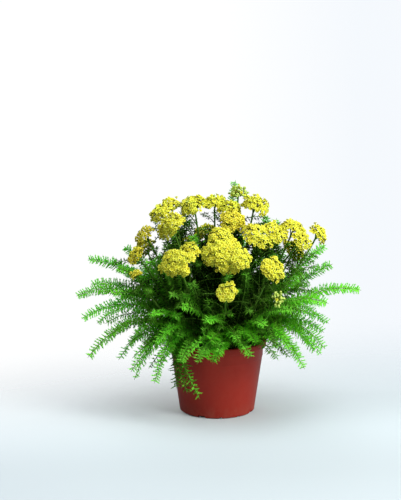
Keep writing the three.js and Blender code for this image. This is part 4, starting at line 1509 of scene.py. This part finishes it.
@dataclass
class Tuft:
    """A crown in the compost with its basal fronds."""

    name: str
    index: int
    crown: Array
    rows: tuple[tuple[float, ...], ...]
    foliage: Foliage = field(default_factory=lambda: Foliage(spacing=2.2))
    sparer: Foliage = field(default_factory=lambda: Foliage(spacing=2.5, pairs=1))
    fuller: Foliage = field(default_factory=lambda: Foliage(spacing=1.8, fullness=1.3, tip_light=0.5))
    crown_radius: float = 4.6
    top_radius: float = 3.4
    foot_depth: float = 15  # of the crown, under its top
    root_share: float = 0.65  # how far out its fronds start, as a share of its top radius
    root_depth: float = 0.7
    stagger: float = 1.7
    stray_tip: float = 34  # how far a frond's last try may move its tip, its lift and its swing
    stray_lift: float = 20.4
    stray_swing: float = 13.6
    # Leaves beside the fronds, low, longer and upright: how many, the range of their slopes in radians,
    # the range of their lengths.
    families: tuple[tuple[int, tuple[float, float], tuple[float, float]], ...] = (
        (9, (-0.1, 0.9), (62, 112)), (8, (-0.25, 0.75), (105, 155)), (11, (0.75, 1.45), (130, 205)),
    )
    spare_tries: int = 24

    def leaves(self, row: tuple[float, ...], seed: int) -> Iterator[Leaf]:
        """The positions that a frond tries, in order.

        Args:
            row: Its tip's x, y and z, lift, swing and roll.
            seed: Of its draws.

        Yields:
            The leaf at each position.
        """
        x, y, z, lift, swing, roll = row
        draws = Draws(seed)
        for attempt in range(TRIES):
            spread = attempt / TRIES
            tip = np.array([x, y, z]) + [draws.signed(self.stray_tip * spread) for _ in range(3)]
            chord = tip - self.crown
            outward = unit(np.array([chord[0], chord[1], 0]))
            start = self.crown + outward * self.top_radius * self.root_share
            start[2] -= self.root_depth + self.stagger * (seed % 3)
            control = start + (tip - start) * 0.45
            control[2] += lift + draws.signed(self.stray_lift * spread)
            control += quarter_turned(outward) * (swing + draws.signed(self.stray_swing * spread))
            yield Leaf(Curve.arch(start, control, tip), FROND, FROND.width, roll)

    def spare_leaf(self, azimuth: float, slope: float, length: float, rng: np.random.Generator) -> Leaf:
        """A basal leaf beside the fronds, arching outwards.

        Args:
            azimuth: The direction it leans in, in radians.
            slope: How steeply it rises, in radians.
            length: How far off its tip is.
            rng: The random draws.

        Returns:
            The leaf.
        """
        outward = np.array([math.cos(azimuth), math.sin(azimuth), 0])
        start = self.crown + outward * self.top_radius * 0.5 - [0, 0, 2]
        tip = start + outward * length * math.cos(slope) + [0, 0, length * math.sin(slope)]
        control = start + (tip - start) * 0.5 + [0, 0, length * (0.55 - 0.35 * slope)]
        control += quarter_turned(outward) * rng.normal(0, 0.08 * length)
        width = STEM_LEAF.width * rng.uniform(0.9, 1.1)
        return Leaf(Curve.arch(start, control, tip), STEM_LEAF, width, rng.uniform(-50, 50))

    def spare_leaves(self, room: Room, rng: np.random.Generator) -> Iterator[Leaf]:
        """The leaves beside the fronds, wherever there is room for them.

        Args:
            room: The space for them.
            rng: The random draws.

        Yields:
            Each leaf.
        """
        outward = math.atan2(self.crown[1], self.crown[0])
        for count, slopes, lengths in self.families:
            for k in range(count):
                for _ in range(self.spare_tries):
                    turn = (k * GOLDEN + math.pi) % (2 * math.pi) - math.pi + rng.normal(0, 0.4)
                    leaf = self.spare_leaf(outward + turn, rng.uniform(*slopes), rng.uniform(*lengths), rng)
                    if room.free(leaf.curve.at(np.linspace(0.08, 1, 10))):
                        yield leaf
                        break

    def build(self, solid: Solid, finishes: dict[Tissue, bpy.types.Material], room: Room) -> None:
        """Makes the tuft.

        Args:
            solid: The tuft's solid.
            finishes: The material of each tissue.
            room: The space for its leaves.
        """
        stock = Stock()
        rng = np.random.default_rng(200 + self.index)
        foot = self.crown - [0, 0, self.foot_depth]
        radii = np.linspace(self.crown_radius, self.top_radius, 5) * 0.9
        stock.tube(np.linspace(foot, self.crown, 5), radii, 12, 0.5, (0, 0.3))
        for k, row in enumerate(self.rows):
            leaf = solid.first_leaf(self.leaves(row, 200 + self.index * 10 + k))
            if leaf:
                self.foliage.grow(stock, leaf, rng.uniform(0.6, 1.0), rng, room)
            else:
                LOG.warning("tuft %s: frond %d isn't in the solid", self.name, k)
        for leaf in self.spare_leaves(room, rng):
            self.sparer.grow(stock, leaf, rng.uniform(0.4, 1.0), rng, room)
        for row in BESIDE.get(self.name, ()):
            self.fuller.grow(stock, next(self.leaves(row[:-1], 0)), row[-1], rng, room)
        settle_piece(stock.build(f"fronds_{self.name}", finishes), "foliage", f"leaf_tuft_{self.name}")


class Stage(Enum):
    """How far a head has opened: the share of its florets still in bud, and how brown its discs are."""

    BUD = (0.9, 0.1)
    YOUNG = (0.03, 0.05)
    FULL = (0.0, 0.36)
    AGED = (0.0, 1.0)

    @property
    def bud_share(self) -> float:
        """The share of florets in bud."""
        return self.value[0]

    @property
    def age(self) -> float:
        """How far the discs have browned, from 0 to 1."""
        return self.value[1]


@dataclass
class Floret:
    """One small flower: five notched rays round a knobbly disc, over a downy cup."""

    rays: int = 5
    ray_out: float = 2.75
    ray_width: float = 2.7
    notch: float = 0.84  # how far the notch's corner is out, as a share of the ray's length
    cupping: float = 0.5  # how far a ray's edges stand up
    disc: float = 1.05

    def forms(self, seed: int) -> list[Form]:
        """The flower's forms, with its middle at the origin and its axis along Z.

        Args:
            seed: Which variant.

        Returns:
            Rays, disc and cup.
        """
        rng = np.random.default_rng(seed)
        rays = [self.ray(k, rng) for k in range(self.rays)]
        count = len(rays[0].points)
        every = Form(
            Tissue.RAY,
            np.vstack([ray.points for ray in rays]),
            np.vstack([ray.faces + count * k for k, ray in enumerate(rays)]),
            np.concatenate([ray.tone for ray in rays]),
            np.concatenate([ray.reach for ray in rays]),
        )
        return [every, self.disc_form(rng), self.cup_form()]

    def ray(self, k: int, rng: np.random.Generator) -> Form:
        """One ray: a short broad strap with a notch in its end, dished and thickest in the middle.

        Args:
            k: Its number round the disc.
            rng: The random draws.

        Returns:
            The ray.
        """
        inner = self.disc * 0.6
        length = self.ray_out - inner
        half = self.ray_width / 2 * rng.uniform(0.9, 1.1)
        corners = [(0, 0), (0.5, -0.95), (1.0, -0.6), (self.notch, 0), (1.0, 0.6), (0.5, 0.95)]
        outline = np.array(corners) * (length, half)
        droop = rng.uniform(-1.3, 0.7)
        edges, out = outline[:, 1] / half, outline[:, 0] / length
        height = self.cupping * edges**2 + droop * out**2 + 0.25
        rim = np.column_stack([outline[:, 0] + inner, outline[:, 1], height])
        above = (inner + length * 0.55, 0, 0.3 + droop * 0.3)
        below = (inner + length * 0.5, 0, droop * 0.3 - 0.05)
        spin = about_z(2 * math.pi * k / self.rays + rng.uniform(-0.12, 0.12))
        count = len(rim)
        tone = np.append(np.where(np.arange(count) % 2, 0.04, 0.0), [0.0, 0.0]) + rng.uniform(-0.25, 0.25)
        return Form(Tissue.RAY, np.vstack([rim, above, below]) @ spin.T, two_fans(count), tone,
                    np.append(out, [0.5, 0.5]))

    def disc_form(self, rng: np.random.Generator) -> Form:
        """The disc: a low dome of small knobs.

        Args:
            rng: The random draws.

        Returns:
            The disc.
        """
        knobs = 6
        ring = circle(self.disc * 0.65, knobs, 0.75, 0.3)
        ring[:, 2] += np.where(np.arange(knobs) % 2, 0.2, -0.15) + rng.normal(0, 0.04, knobs)
        return closed_form(Tissue.DISC, [circle(self.disc, knobs, 0.0), ring], 0.12)

    @staticmethod
    def cup_form() -> Form:
        """The cup under the flower, narrowing to its stalk."""
        return cone_form(Tissue.CALYX, 1.9, 0.1, -3.4, 5)

    @staticmethod
    def bud_form() -> Form:
        """An unopened flower."""
        rings = [circle(0.4, 6, -2.4), circle(1.8, 6, -0.9), circle(1.7, 6, 0.5, 0.4), circle(0.7, 6, 1.6)]
        return closed_form(Tissue.BUD, rings, 0.1)


@dataclass
class FlowerHead:
    """A domed head of clustered florets."""

    name: str
    index: int
    lobes: list[Lobe]
    stage: Stage = Stage.FULL
    spacing: float = 4.1  # between florets
    stray: float = 0.3  # how far they stray from the honeycomb
    gathering: float = 0.97  # how near to it they are drawn towards their cluster's middle
    lift: float = 3.9
    lift_spread: float = 0.9
    cluster_spread: float = 1.1  # of the clusters' heights
    sinking: float = 2.6  # how much lower the florets at a cluster's edge stand
    widest: float = 1.3  # a floret further out sinks no further, as a share of the way to a cluster's edge
    overhang: float = 2.4  # how far florets stand past the dome's edge
    skirt: float = 5.5  # and how far down an upright head's side
    upright_from: float = 0.6  # a head is upright as its normal's height goes up from here
    upright_over: float = 0.35  # by this much
    levelling: float = 1.6  # how far the florets of a leaning head all face the same way
    ragged: float = 1.6  # florets past this share of the way to a cluster's edge are left out
    ragged_from: float = 0.86  # where they also stand past this share of the head's reach
    ragged_less: float = 0.85  # how many of an upright head's are kept all the same
    wobble: float = 0.4  # of the way that florets face
    cup_depth: float = 2.3  # from a floret's middle to where its stalk ends
    node_depth: float = 6  # of a cluster's node under the dome
    variants: int = 5

    def build(self, finishes: dict[Tissue, bpy.types.Material]) -> None:
        """Makes the head.

        Args:
            finishes: The material of each tissue.
        """
        stock = Stock()
        rng = np.random.default_rng(4000 + self.index)
        forms = [Floret().forms(seed) for seed in range(self.variants)]
        for lobe in self.lobes:
            self.fill(stock, lobe, forms, rng)
        settle_piece(stock.build(f"bloom_{self.name}", finishes), "bloom", f"flower_head_{self.name}")

    def fill(self, stock: Stock, lobe: Lobe, forms: list[list[Form]], rng: np.random.Generator) -> None:
        """Covers one lobe with florets, cluster by cluster.

        Args:
            stock: Where they go.
            lobe: The lobe.
            forms: The florets' variants.
            rng: The random draws.
        """
        clusters = lobe.clusters()
        heights = rng.normal(0, self.cluster_spread, len(clusters))
        upright = float(np.clip((lobe.normal[2] - self.upright_from) / self.upright_over, 0, 1))
        places = lobe.honeycomb(self.spacing, -self.overhang - self.skirt * upright)
        places = places + rng.normal(0, self.stray, places.shape)
        for other in self.lobes:
            if other is not lobe:
                places = places[~other.holds(lobe.on_dome(places))]
        near = np.argmin(np.linalg.norm(places[:, None] - clusters[None], axis=2), axis=1)
        share = np.linalg.norm(places - clusters[near], axis=1) / (lobe.pitch / 2)
        edge = np.linalg.norm(places, axis=1) > self.ragged_from * lobe.reach(places)
        edge &= rng.random(len(places)) > self.ragged_less * upright**0.5
        full = ~edge | (share < self.ragged)
        places, near, share = places[full], near[full], np.minimum(share[full], self.widest)
        count = len(places)
        offset = places - clusters[near]
        lift = self.lift + heights[near] - self.sinking * share**2 + rng.normal(0, self.lift_spread, count)
        settled = clusters[near] + offset * self.gathering
        arc = np.linalg.norm(settled, axis=1)
        past = np.clip(arc - lobe.reach(settled) - self.overhang, 0, None)
        points = lobe.on_dome(settled * (1 - past / np.maximum(arc, TINY))[:, None], lift)
        points -= past[:, None] * lobe.normal
        lean = lobe.across * offset[:, :1] + lobe.ahead * offset[:, 1:]
        facing = lobe.way_out(places) + self.levelling * (1 - lobe.normal[2]) * lobe.normal
        axis = unit(facing + 0.5 * lean / lobe.pitch + rng.normal(0, self.wobble, points.shape))
        spin = rng.uniform(0, 2 * math.pi, count)
        first = square_to(np.broadcast_to(lobe.across, axis.shape), axis)
        x_axis = first * np.cos(spin)[:, None] + np.cross(axis, first) * np.sin(spin)[:, None]
        size = rng.uniform(0.9, 1.13, count) * (1 - 0.06 * (share > 0.9))
        frames = np.stack([x_axis, np.cross(axis, x_axis), axis], axis=2) * size[:, None, None]
        cluster_tone = rng.normal(0, 0.07, len(clusters))
        # painted shade: florets darken towards their cluster's edge, in the gaps between clusters
        tones = 1.0 - 0.7 * self.stage.age + cluster_tone[near] + rng.normal(0, 0.18, count) - 0.2 * share
        discs = 1 - self.stage.age + rng.normal(0, 0.2, count)
        green = rng.uniform(0.2, 0.9, count)
        bud = rng.random(count) < self.stage.bud_share
        which = rng.integers(0, len(forms), count)
        root = np.zeros(count)
        for variant, parts in enumerate(forms):
            chosen = ~bud & (which == variant)
            for form, tone in zip(parts, (tones, discs, green)):
                stock.stamp(form, frames[chosen], points[chosen], tone[chosen], root[chosen])
        stock.stamp(Floret.bud_form(), frames[bud], points[bud], green[bud] + 0.2, root[bud])
        nodes = lobe.on_dome(clusters[near] * self.gathering, heights[near] - self.node_depth)
        self.pedicels(stock, nodes, points - axis * (self.cup_depth * size)[:, None], rng)

    @staticmethod
    def pedicels(stock: Stock, starts: Array, ends: Array, rng: np.random.Generator) -> None:
        """Adds the short stalks between a cluster's node and its florets.

        Args:
            stock: Where they go.
            starts: The cluster's node, one a floret.
            ends: The underside of each floret's cup.
            rng: The random draws.
        """
        form = cone_form(Tissue.CALYX, 0.55, 0, -1, 3)
        long = starts - ends
        axis = unit(long)
        first = square_to(np.broadcast_to(ASLANT, axis.shape), axis)
        frames = np.stack([first, np.cross(axis, first), long], axis=2)
        stock.stamp(form, frames, starts, rng.uniform(0.1, 0.6, len(starts)), np.zeros(len(starts)))


@dataclass
class Stem:
    """A flowering stem with its branch, its leaves and the stalks that carry its head."""

    name: str
    index: int
    lobes: list[Lobe]
    rising: int = 0  # how many of its domes, from the last, rise over those of the solid
    foliage: Foliage = field(default_factory=lambda: Foliage(spacing=2.3, pairs=1, tip_light=0.4))
    fan_depth: float = 55
    upright: float = 1.35
    soil_top: float = 92
    sunk: float = 11
    foot_radius: float = 1.75
    neck_radius: float = 1.15
    branch_at: float = 0.55
    branch_sides: int = 8
    approach: float = 0.8
    firmness: float = 0.36  # how far it keeps its first and last direction, as a share of its length
    branch_firmness: float = 0.45
    fit: float = 0.35
    small_head: float = 13.5  # a stem whose head has a radius below this has the first leaf alone
    leaf_length: float = 72
    leaf_droop: float = 0.16  # how far a leaf's tip sinks, as a share of its length
    leaf_places: tuple[float, ...] = (0.3, 0.56)
    leaf_shorter: float = 0.16  # how much shorter the second leaf is
    leaf_turn: float = 2.4  # radians round the stem from one to the next
    leaf_open: float = 0.95  # radians between a leaf and the stem
    leaf_every: float = 11.5  # from one spare leaf to the next
    spare_from: float = 0.1  # where on a stem the lowest spare leaf stands
    branch_spare_from: float = 0.35  # and on a branch
    spare_to: float = 0.93
    spare_tries: int = 10
    stalk_radii: tuple[float, float] = (0.85, 0.6)
    stalk_depth: float = 5.5  # where a stalk ends, under the dome

    def curve_to(self, start: Array, leaving: Array, lobe: Lobe, firmness: float) -> Curve:
        """A stem's line to the underside of a lobe.

        Args:
            start: Where it leaves.
            leaving: The direction it leaves in.
            lobe: The lobe.
            firmness: How far it keeps its first and last direction, as a share of its length.

        Returns:
            The line.
        """
        end = lobe.apex - lobe.normal * self.fit
        reach = np.linalg.norm(end - start) * firmness
        arriving = unit(lobe.normal + [0, 0, self.approach])
        return Curve(np.array([start, start + leaving * reach, end - arriving * reach, end]))

    def leaves(self, main: Curve, k: int) -> Iterator[Leaf]:
        """The positions that a leaf on the stem tries, in order.

        Args:
            main: The stem's line.
            k: Which of its places.

        Yields:
            The leaf at each position.
        """
        draws = Draws(600 + self.index * 10 + k)
        point, along = main.at(self.leaf_places[k]), main.along(self.leaf_places[k])
        for attempt in range(TRIES):
            spread = attempt / TRIES
            angle = self.leaf_turn * k + self.index + draws.signed(0.3 + spread * math.pi)
            open_angle = self.leaf_open + draws.signed(0.15 + spread * 0.5)
            size = (1 - self.leaf_shorter * k) * (1 - 0.3 * spread)
            yield self.leaf_at(point, along, angle, open_angle, size, size)

    def leaf_at(self, point: Array, along: Array, angle: float, open_angle: float, size: float,
                breadth: float) -> Leaf:
        """A leaf on the stem.

        Args:
            point: Where it leaves the stem.
            along: The stem's direction there.
            angle: Its angle round the stem.
            open_angle: Its angle to the stem.
            size: Its length as a share of the longest's.
            breadth: Its width as a share of the widest's.

        Returns:
            The leaf.
        """
        length = self.leaf_length * size
        u = square_to(np.array([1, 0.3, 0]), along)
        outward = u * math.cos(angle) + np.cross(along, u) * math.sin(angle)
        tip = point + (outward * math.sin(open_angle) + along * math.cos(open_angle)) * length
        control = (point + tip) / 2
        tip[2] -= length * self.leaf_droop
        control[2] += length * self.leaf_droop / 2
        return Leaf(Curve.arch(point, control, tip), STEM_LEAF, STEM_LEAF.width * breadth)

    def spare_leaves(self, line: Curve, first: float, room: Room, rng: np.random.Generator) -> Iterator[Leaf]:
        """The shorter leaves up a stem or a branch, wherever there is room for them.

        Args:
            line: Its line.
            first: Where the lowest stands.
            room: The space for them.
            rng: The random draws.

        Yields:
            Each leaf.
        """
        count = max(2, round(line.length * (self.spare_to - first) / self.leaf_every))
        for k, place in enumerate(np.linspace(first, self.spare_to, count)):
            point, along = line.at(place), line.along(place)
            for _ in range(self.spare_tries):
                size = (0.98 - 0.45 * place) * rng.uniform(0.8, 1.15)
                angle = k * GOLDEN + self.index + rng.normal(0, 0.6)
                leaf = self.leaf_at(point, along, angle, rng.uniform(0.6, 1.2), size, size**0.5)
                if room.free(leaf.curve.at(np.linspace(0.3, 1, 6))):
                    yield leaf
                    break

    def build(self, solid: Solid, finishes: dict[Tissue, bpy.types.Material], room: Room) -> None:
        """Makes the stem.

        Args:
            solid: The stem's solid.
            finishes: The material of each tissue.
            room: The space for its leaves.
        """
        stock = Stock()
        rng = np.random.default_rng(600 + self.index)
        top = self.lobes[0].crown
        share = self.fan_depth / (self.fan_depth + top[2] - self.soil_top)
        foot = np.array([top[0] * share, top[1] * share, self.soil_top])
        leaving = unit(np.array([foot[0], foot[1], self.fan_depth * self.upright]))
        main = self.curve_to(foot, leaving, self.lobes[0], self.firmness)
        places = np.linspace(0, 1, 18)
        path = np.vstack([foot - [0, 0, self.sunk], main.at(places)])
        radii = np.append(self.foot_radius, np.linspace(self.foot_radius, self.neck_radius, len(places)))
        stock.tube(path, radii, 10, rng.uniform(0.35, 0.7), (0, 1))
        self.carry(stock, main, self.lobes[0], rng)
        spare = list(self.spare_leaves(main, self.spare_from, room, rng))
        for k, lobe in enumerate(self.lobes[1:], 1):
            leaving = main.along(self.branch_at)
            branch = self.curve_to(main.at(self.branch_at), leaving, lobe, self.branch_firmness)
            if k >= len(self.lobes) - self.rising or solid.has_corner(branch.at(1.0), 1.6):
                radii = np.full(len(places), self.neck_radius)
                stock.tube(branch.at(places), radii, self.branch_sides, 0.6, (0.5, 1))
                self.carry(stock, branch, lobe, rng)
                spare += self.spare_leaves(branch, self.branch_spare_from, room, rng)
        for leaf in spare:
            # the stem leaves' darker tones are painted shade among the heads
            self.foliage.grow(stock, leaf, rng.uniform(0.05, 0.55), rng, room)
        small = self.lobes[0].radius < self.small_head
        for k in range(1 if small else len(self.leaf_places)):
            leaf = solid.first_leaf(self.leaves(main, k))
            if leaf:
                self.foliage.grow(stock, leaf, rng.uniform(0.3, 0.8), rng, room)
        settle_piece(stock.build(f"stalk_{self.name}", finishes), "foliage", f"stem_{self.name}")

    def carry(self, stock: Stock, curve: Curve, lobe: Lobe, rng: np.random.Generator) -> None:
        """Adds the stalks from a stem's upper end to a lobe's clusters of florets.

        Args:
            stock: Where they go.
            curve: The stem's line.
            lobe: The lobe.
            rng: The random draws.
        """
        chord = float(np.linalg.norm(curve.at(1.0) - curve.at(0.0)))
        for place in lobe.clusters():
            far = float(np.linalg.norm(place)) / lobe.radius
            fork = 1 - lobe.radius * (0.25 + 0.5 * far + rng.uniform(0, 0.15)) / chord
            start, end = curve.at(fork), lobe.on_dome(place * FlowerHead.gathering, -self.stalk_depth)
            control = start + curve.along(fork) * np.linalg.norm(end - start) * 0.55
            path = Curve.arch(start, control, end).at(np.linspace(0, 1, 5))
            stock.tube(path, np.linspace(*self.stalk_radii, len(path)), 5, rng.uniform(0.45, 0.8), (0.7, 1))


STAGES = {
    "summit_bud": Stage.BUD,
    "right_bud": Stage.BUD,
    "left_bud": Stage.AGED,
    "left_low": Stage.AGED,
    "left_side": Stage.AGED,
    "top_front": Stage.AGED,
    "top_middle": Stage.YOUNG,
    "top_right": Stage.YOUNG,
    "left_top": Stage.YOUNG,
    "left_high": Stage.YOUNG,
}


class Plant:
    """The whole plant, laid out as the solids are."""

    def __init__(self, nodes: dict[str, bpy.types.Object], pot: Pot) -> None:
        """Lays out the stems and tufts.

        Args:
            nodes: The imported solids.
            pot: The pot that it stands in.
        """
        self.nodes = nodes
        self.finishes = self.make_finishes()
        self.stems: list[Stem] = []
        for index, (name, rows) in enumerate(STEMS.items()):
            rising = RISING.get(name, ())
            lobes = [Lobe.lay(row, 40 + index * 3 + k) for k, row in enumerate(rows + rising)]
            self.stems.append(Stem(name, index, lobes, len(rising)))
        low, high = (np.array(corner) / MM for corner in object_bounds())
        self.room = Room(pot, [lobe for stem in self.stems for lobe in stem.lobes], low, high)
        self.tufts: list[Tuft] = []
        for index, (name, (crown, rows)) in enumerate(TUFTS.items()):
            self.tufts.append(Tuft(name, index, np.array([*crown, CROWN_TOP]), rows))

    @staticmethod
    def make_finishes() -> dict[Tissue, bpy.types.Material]:
        """The material of each tissue."""
        tones = tissue_tone_group()
        return {finish.tissue: finish.material(tones) for finish in TISSUE_FINISHES}

    def build(self) -> None:
        """Makes every tuft, stem and head."""
        for tuft in self.tufts:
            tuft.build(Solid(self.nodes[f"leaf_tuft_{tuft.name}"]), self.finishes, self.room)
        for stem in self.stems:
            stem.build(Solid(self.nodes[f"stem_{stem.name}"]), self.finishes, self.room)
            stage = STAGES.get(stem.name, Stage.FULL)
            FlowerHead(stem.name, stem.index, stem.lobes, stage).build(self.finishes)


# ------------------------------------------------------------------------------------------- studio


@dataclass
class Studio:
    """The pale floor, the lights and the camera. Its lengths are metres."""

    camera_at: tuple[float, float, float] = (-0.0237, -2.150, 0.6263)
    camera_pitch: float = 10.4  # degrees below level
    lens: float = 111.6
    film: float = 36
    floor_radius: float = 3.0
    floor_sides: int = 96
    fade_about: tuple[float, float, float] = (0.6, -1.35, 0)  # the floor fades away from here
    fade_from: float = 1.32
    fade_to: float = 2.0
    seam_y: float = 0.089  # where the real floor's sheet starts to rise behind the pot; this floor stays flat and gets painted shade there
    seam_shade: float = 0.16  # how much painted shade darkens it just before that
    rise_shade: float = 0.15  # and how much painted shade darkens it past it, in place of the rising sheet
    right_of: tuple[float, float] = (-0.02, 0.1)  # both painted shades come in between these x
    dim_from: float = -0.3  # painted shade dims the floor before here
    dim_to: float = -0.09
    dim_shade: float = 0.12
    paper: tuple[float, float, float] = (0.470, 0.528, 0.555)
    white: tuple[float, float, float] = (1.02, 1.02, 1.02)
    shade_grey: tuple[float, float, float] = (0.915, 0.95, 0.99)
    sky: tuple[float, float, float] = (0.92, 1.0, 1.1)  # the colour of the surround's light
    sky_from: tuple[float, float, float] = (0.75, 0.15, 0.64)  # and the direction that most comes from
    sky_least: float = 0.02
    sky_most: float = 0.62

    def camera(self) -> None:
        """Adds the camera."""
        data = bpy.data.cameras.new("studio_camera")
        data.lens, data.sensor_width = self.lens, self.film
        obj = bpy.data.objects.new("studio_camera", data)
        obj.location = self.camera_at
        obj.rotation_euler = (math.radians(90 - self.camera_pitch), 0, 0)
        bpy.context.scene.collection.objects.link(obj)
        bpy.context.scene.camera = obj

    def lamp(self, name: str, at: tuple[float, float, float], aim: tuple[float, float, float],
             size: tuple[float, float], power: float, colour: tuple[float, float, float] = (1, 1, 1)) -> None:
        """Adds a soft box.

        Args:
            name: Its name.
            at: Where it stands.
            aim: What it points at.
            size: Its width and height.
            power: Watts.
            colour: Its light's colour.
        """
        data = bpy.data.lights.new(name, "AREA")
        data.shape, data.size, data.size_y = "RECTANGLE", *size
        data.energy, data.color = power, colour
        obj = bpy.data.objects.new(name, data)
        obj.location = at
        obj.rotation_euler = (Vector(aim) - Vector(at)).to_track_quat("-Z", "Y").to_euler()
        bpy.context.scene.collection.objects.link(obj)

    def world(self) -> None:
        """A white surround that lights less from the front left than from behind and the right."""
        world = bpy.data.worlds.new("studio_surround")
        bpy.context.scene.world = world
        world.use_nodes = True
        world.node_tree.nodes.clear()
        bench = NodeBench(world.node_tree)
        way = bench.node("ShaderNodeTexCoord").outputs["Generated"]
        side = bench.node("ShaderNodeVectorMath", {0: way, 1: self.sky_from}, operation="DOT_PRODUCT")
        level = bench.spread(side.outputs["Value"], -0.6, 0.95, self.sky_least, self.sky_most)
        across = bench.node("ShaderNodeSeparateXYZ", {0: way}).outputs["X"]
        # what the camera sees of the surround: white, turning to painted shade grey towards the right
        sheet = bench.mix(bench.spread(across, 0.0, 0.1), (*self.white, 1), (*self.shade_grey, 1))
        seen = bench.node("ShaderNodeLightPath").outputs["Is Camera Ray"]
        light = bench.node("ShaderNodeBackground", {
            "Color": bench.mix(seen, (*self.sky, 1), sheet),
            "Strength": bench.node("ShaderNodeMix", {0: seen, 2: level, 3: 1.0}).outputs[0],
        })
        bench.node("ShaderNodeOutputWorld", {"Surface": light.outputs[0]})

    def floor_shade(self, bench: NodeBench, where: bpy.types.NodeSocket) -> bpy.types.NodeSocket:
        """How much painted shade darkens the floor: more at the front, and to the right on both sides of the
        seam.

        Args:
            bench: The floor's tree.
            where: Places on the floor.

        Returns:
            The shade's socket.
        """
        place = bench.node("ShaderNodeSeparateXYZ", {0: where}).outputs

        def step(socket: str, low: float, high: float) -> bpy.types.NodeSocket:
            """A soft step from 0 to 1 along one axis."""
            return bench.spread(place[socket], low, high, curve="SMOOTHSTEP")

        right = step("X", *self.right_of)
        before = bench.math("SUBTRACT", 1.0, step("Y", self.seam_y, self.seam_y + 0.006))
        seam = bench.math("MULTIPLY", before, step("Y", self.seam_y - 0.2, self.seam_y))
        seam = bench.math("MULTIPLY", bench.math("MULTIPLY", seam, right), self.seam_shade)
        near = bench.math("SUBTRACT", 1.0, step("Y", self.dim_from, self.dim_to))
        near = bench.math("MULTIPLY", near, self.dim_shade)
        past = bench.math("SUBTRACT", 1.0, before)
        past = bench.math("SUBTRACT", past, step("Y", self.seam_y, self.seam_y + 0.7))
        past = bench.math("MULTIPLY", bench.math("MULTIPLY", past, right), self.rise_shade)
        return bench.math("ADD", bench.math("ADD", near, past), seam)

    def floor(self) -> None:
        """A pale floor that fades into the white surround away from the pot."""
        disc = circle(self.floor_radius / MM, self.floor_sides, 0.0)
        k = np.arange(self.floor_sides)
        faces = np.column_stack([k, (k + 1) % self.floor_sides, np.full(self.floor_sides, self.floor_sides)])
        obj = object_from("studio_floor", np.vstack([disc, [[0, 0, 0]]]), faces)
        mat, bench = blank_material("studio floor")
        where = bench.node("ShaderNodeTexCoord").outputs["Object"]
        far = bench.node("ShaderNodeVectorMath", {0: where, 1: self.fade_about}, operation="DISTANCE")
        fade = bench.spread(far.outputs["Value"], self.fade_from, self.fade_to, curve="SMOOTHSTEP")
        # the paper colour, darkened by the painted shade
        tint = bench.mix(self.floor_shade(bench, where), (*self.paper, 1), (0.0, 0.0, 0.0, 1))
        paper = bench.node("ShaderNodeBsdfPrincipled", {
            "Base Color": tint, "Roughness": 0.7, "Specular IOR Level": 0.4,
        })
        clear = bench.node("ShaderNodeBsdfTransparent")
        bench.surface(bench.node("ShaderNodeMixShader", {0: fade, 1: paper.outputs[0], 2: clear.outputs[0]}))
        obj.data.materials.append(mat)
        obj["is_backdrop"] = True

    def build(self) -> None:
        """Sets up the studio."""
        self.camera()
        self.world()
        self.floor()
        self.lamp("key_box", (1.3, -1.0, 1.3), (0, 0, 0.15), (0.8, 0.8), 46, (1, 0.99, 0.94))
        self.lamp("back_box", (-1.2, 1.3, 1.4), (0, 0, 0.2), (2.6, 1.4), 26)
        self.lamp("top_box", (0.1, -0.35, 2.1), (0, 0, 0.2), (1.6, 1.6), 28)
        bpy.context.scene.view_settings.view_transform = "Standard"


def main() -> None:
    """Builds the studio, the pot, the compost and the plant."""
    logging.basicConfig(level=logging.INFO, format="%(name)s: %(message)s")
    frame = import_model()
    Studio().build()
    mottle = mottle_group()
    pot = Pot()
    pot.build(PotPlastic().material(mottle))
    Compost(pot).build(CompostCrumb().material(mottle))
    Plant(frame["nodes"], pot).build()
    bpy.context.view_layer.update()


if __name__ == "__main__":
    main()
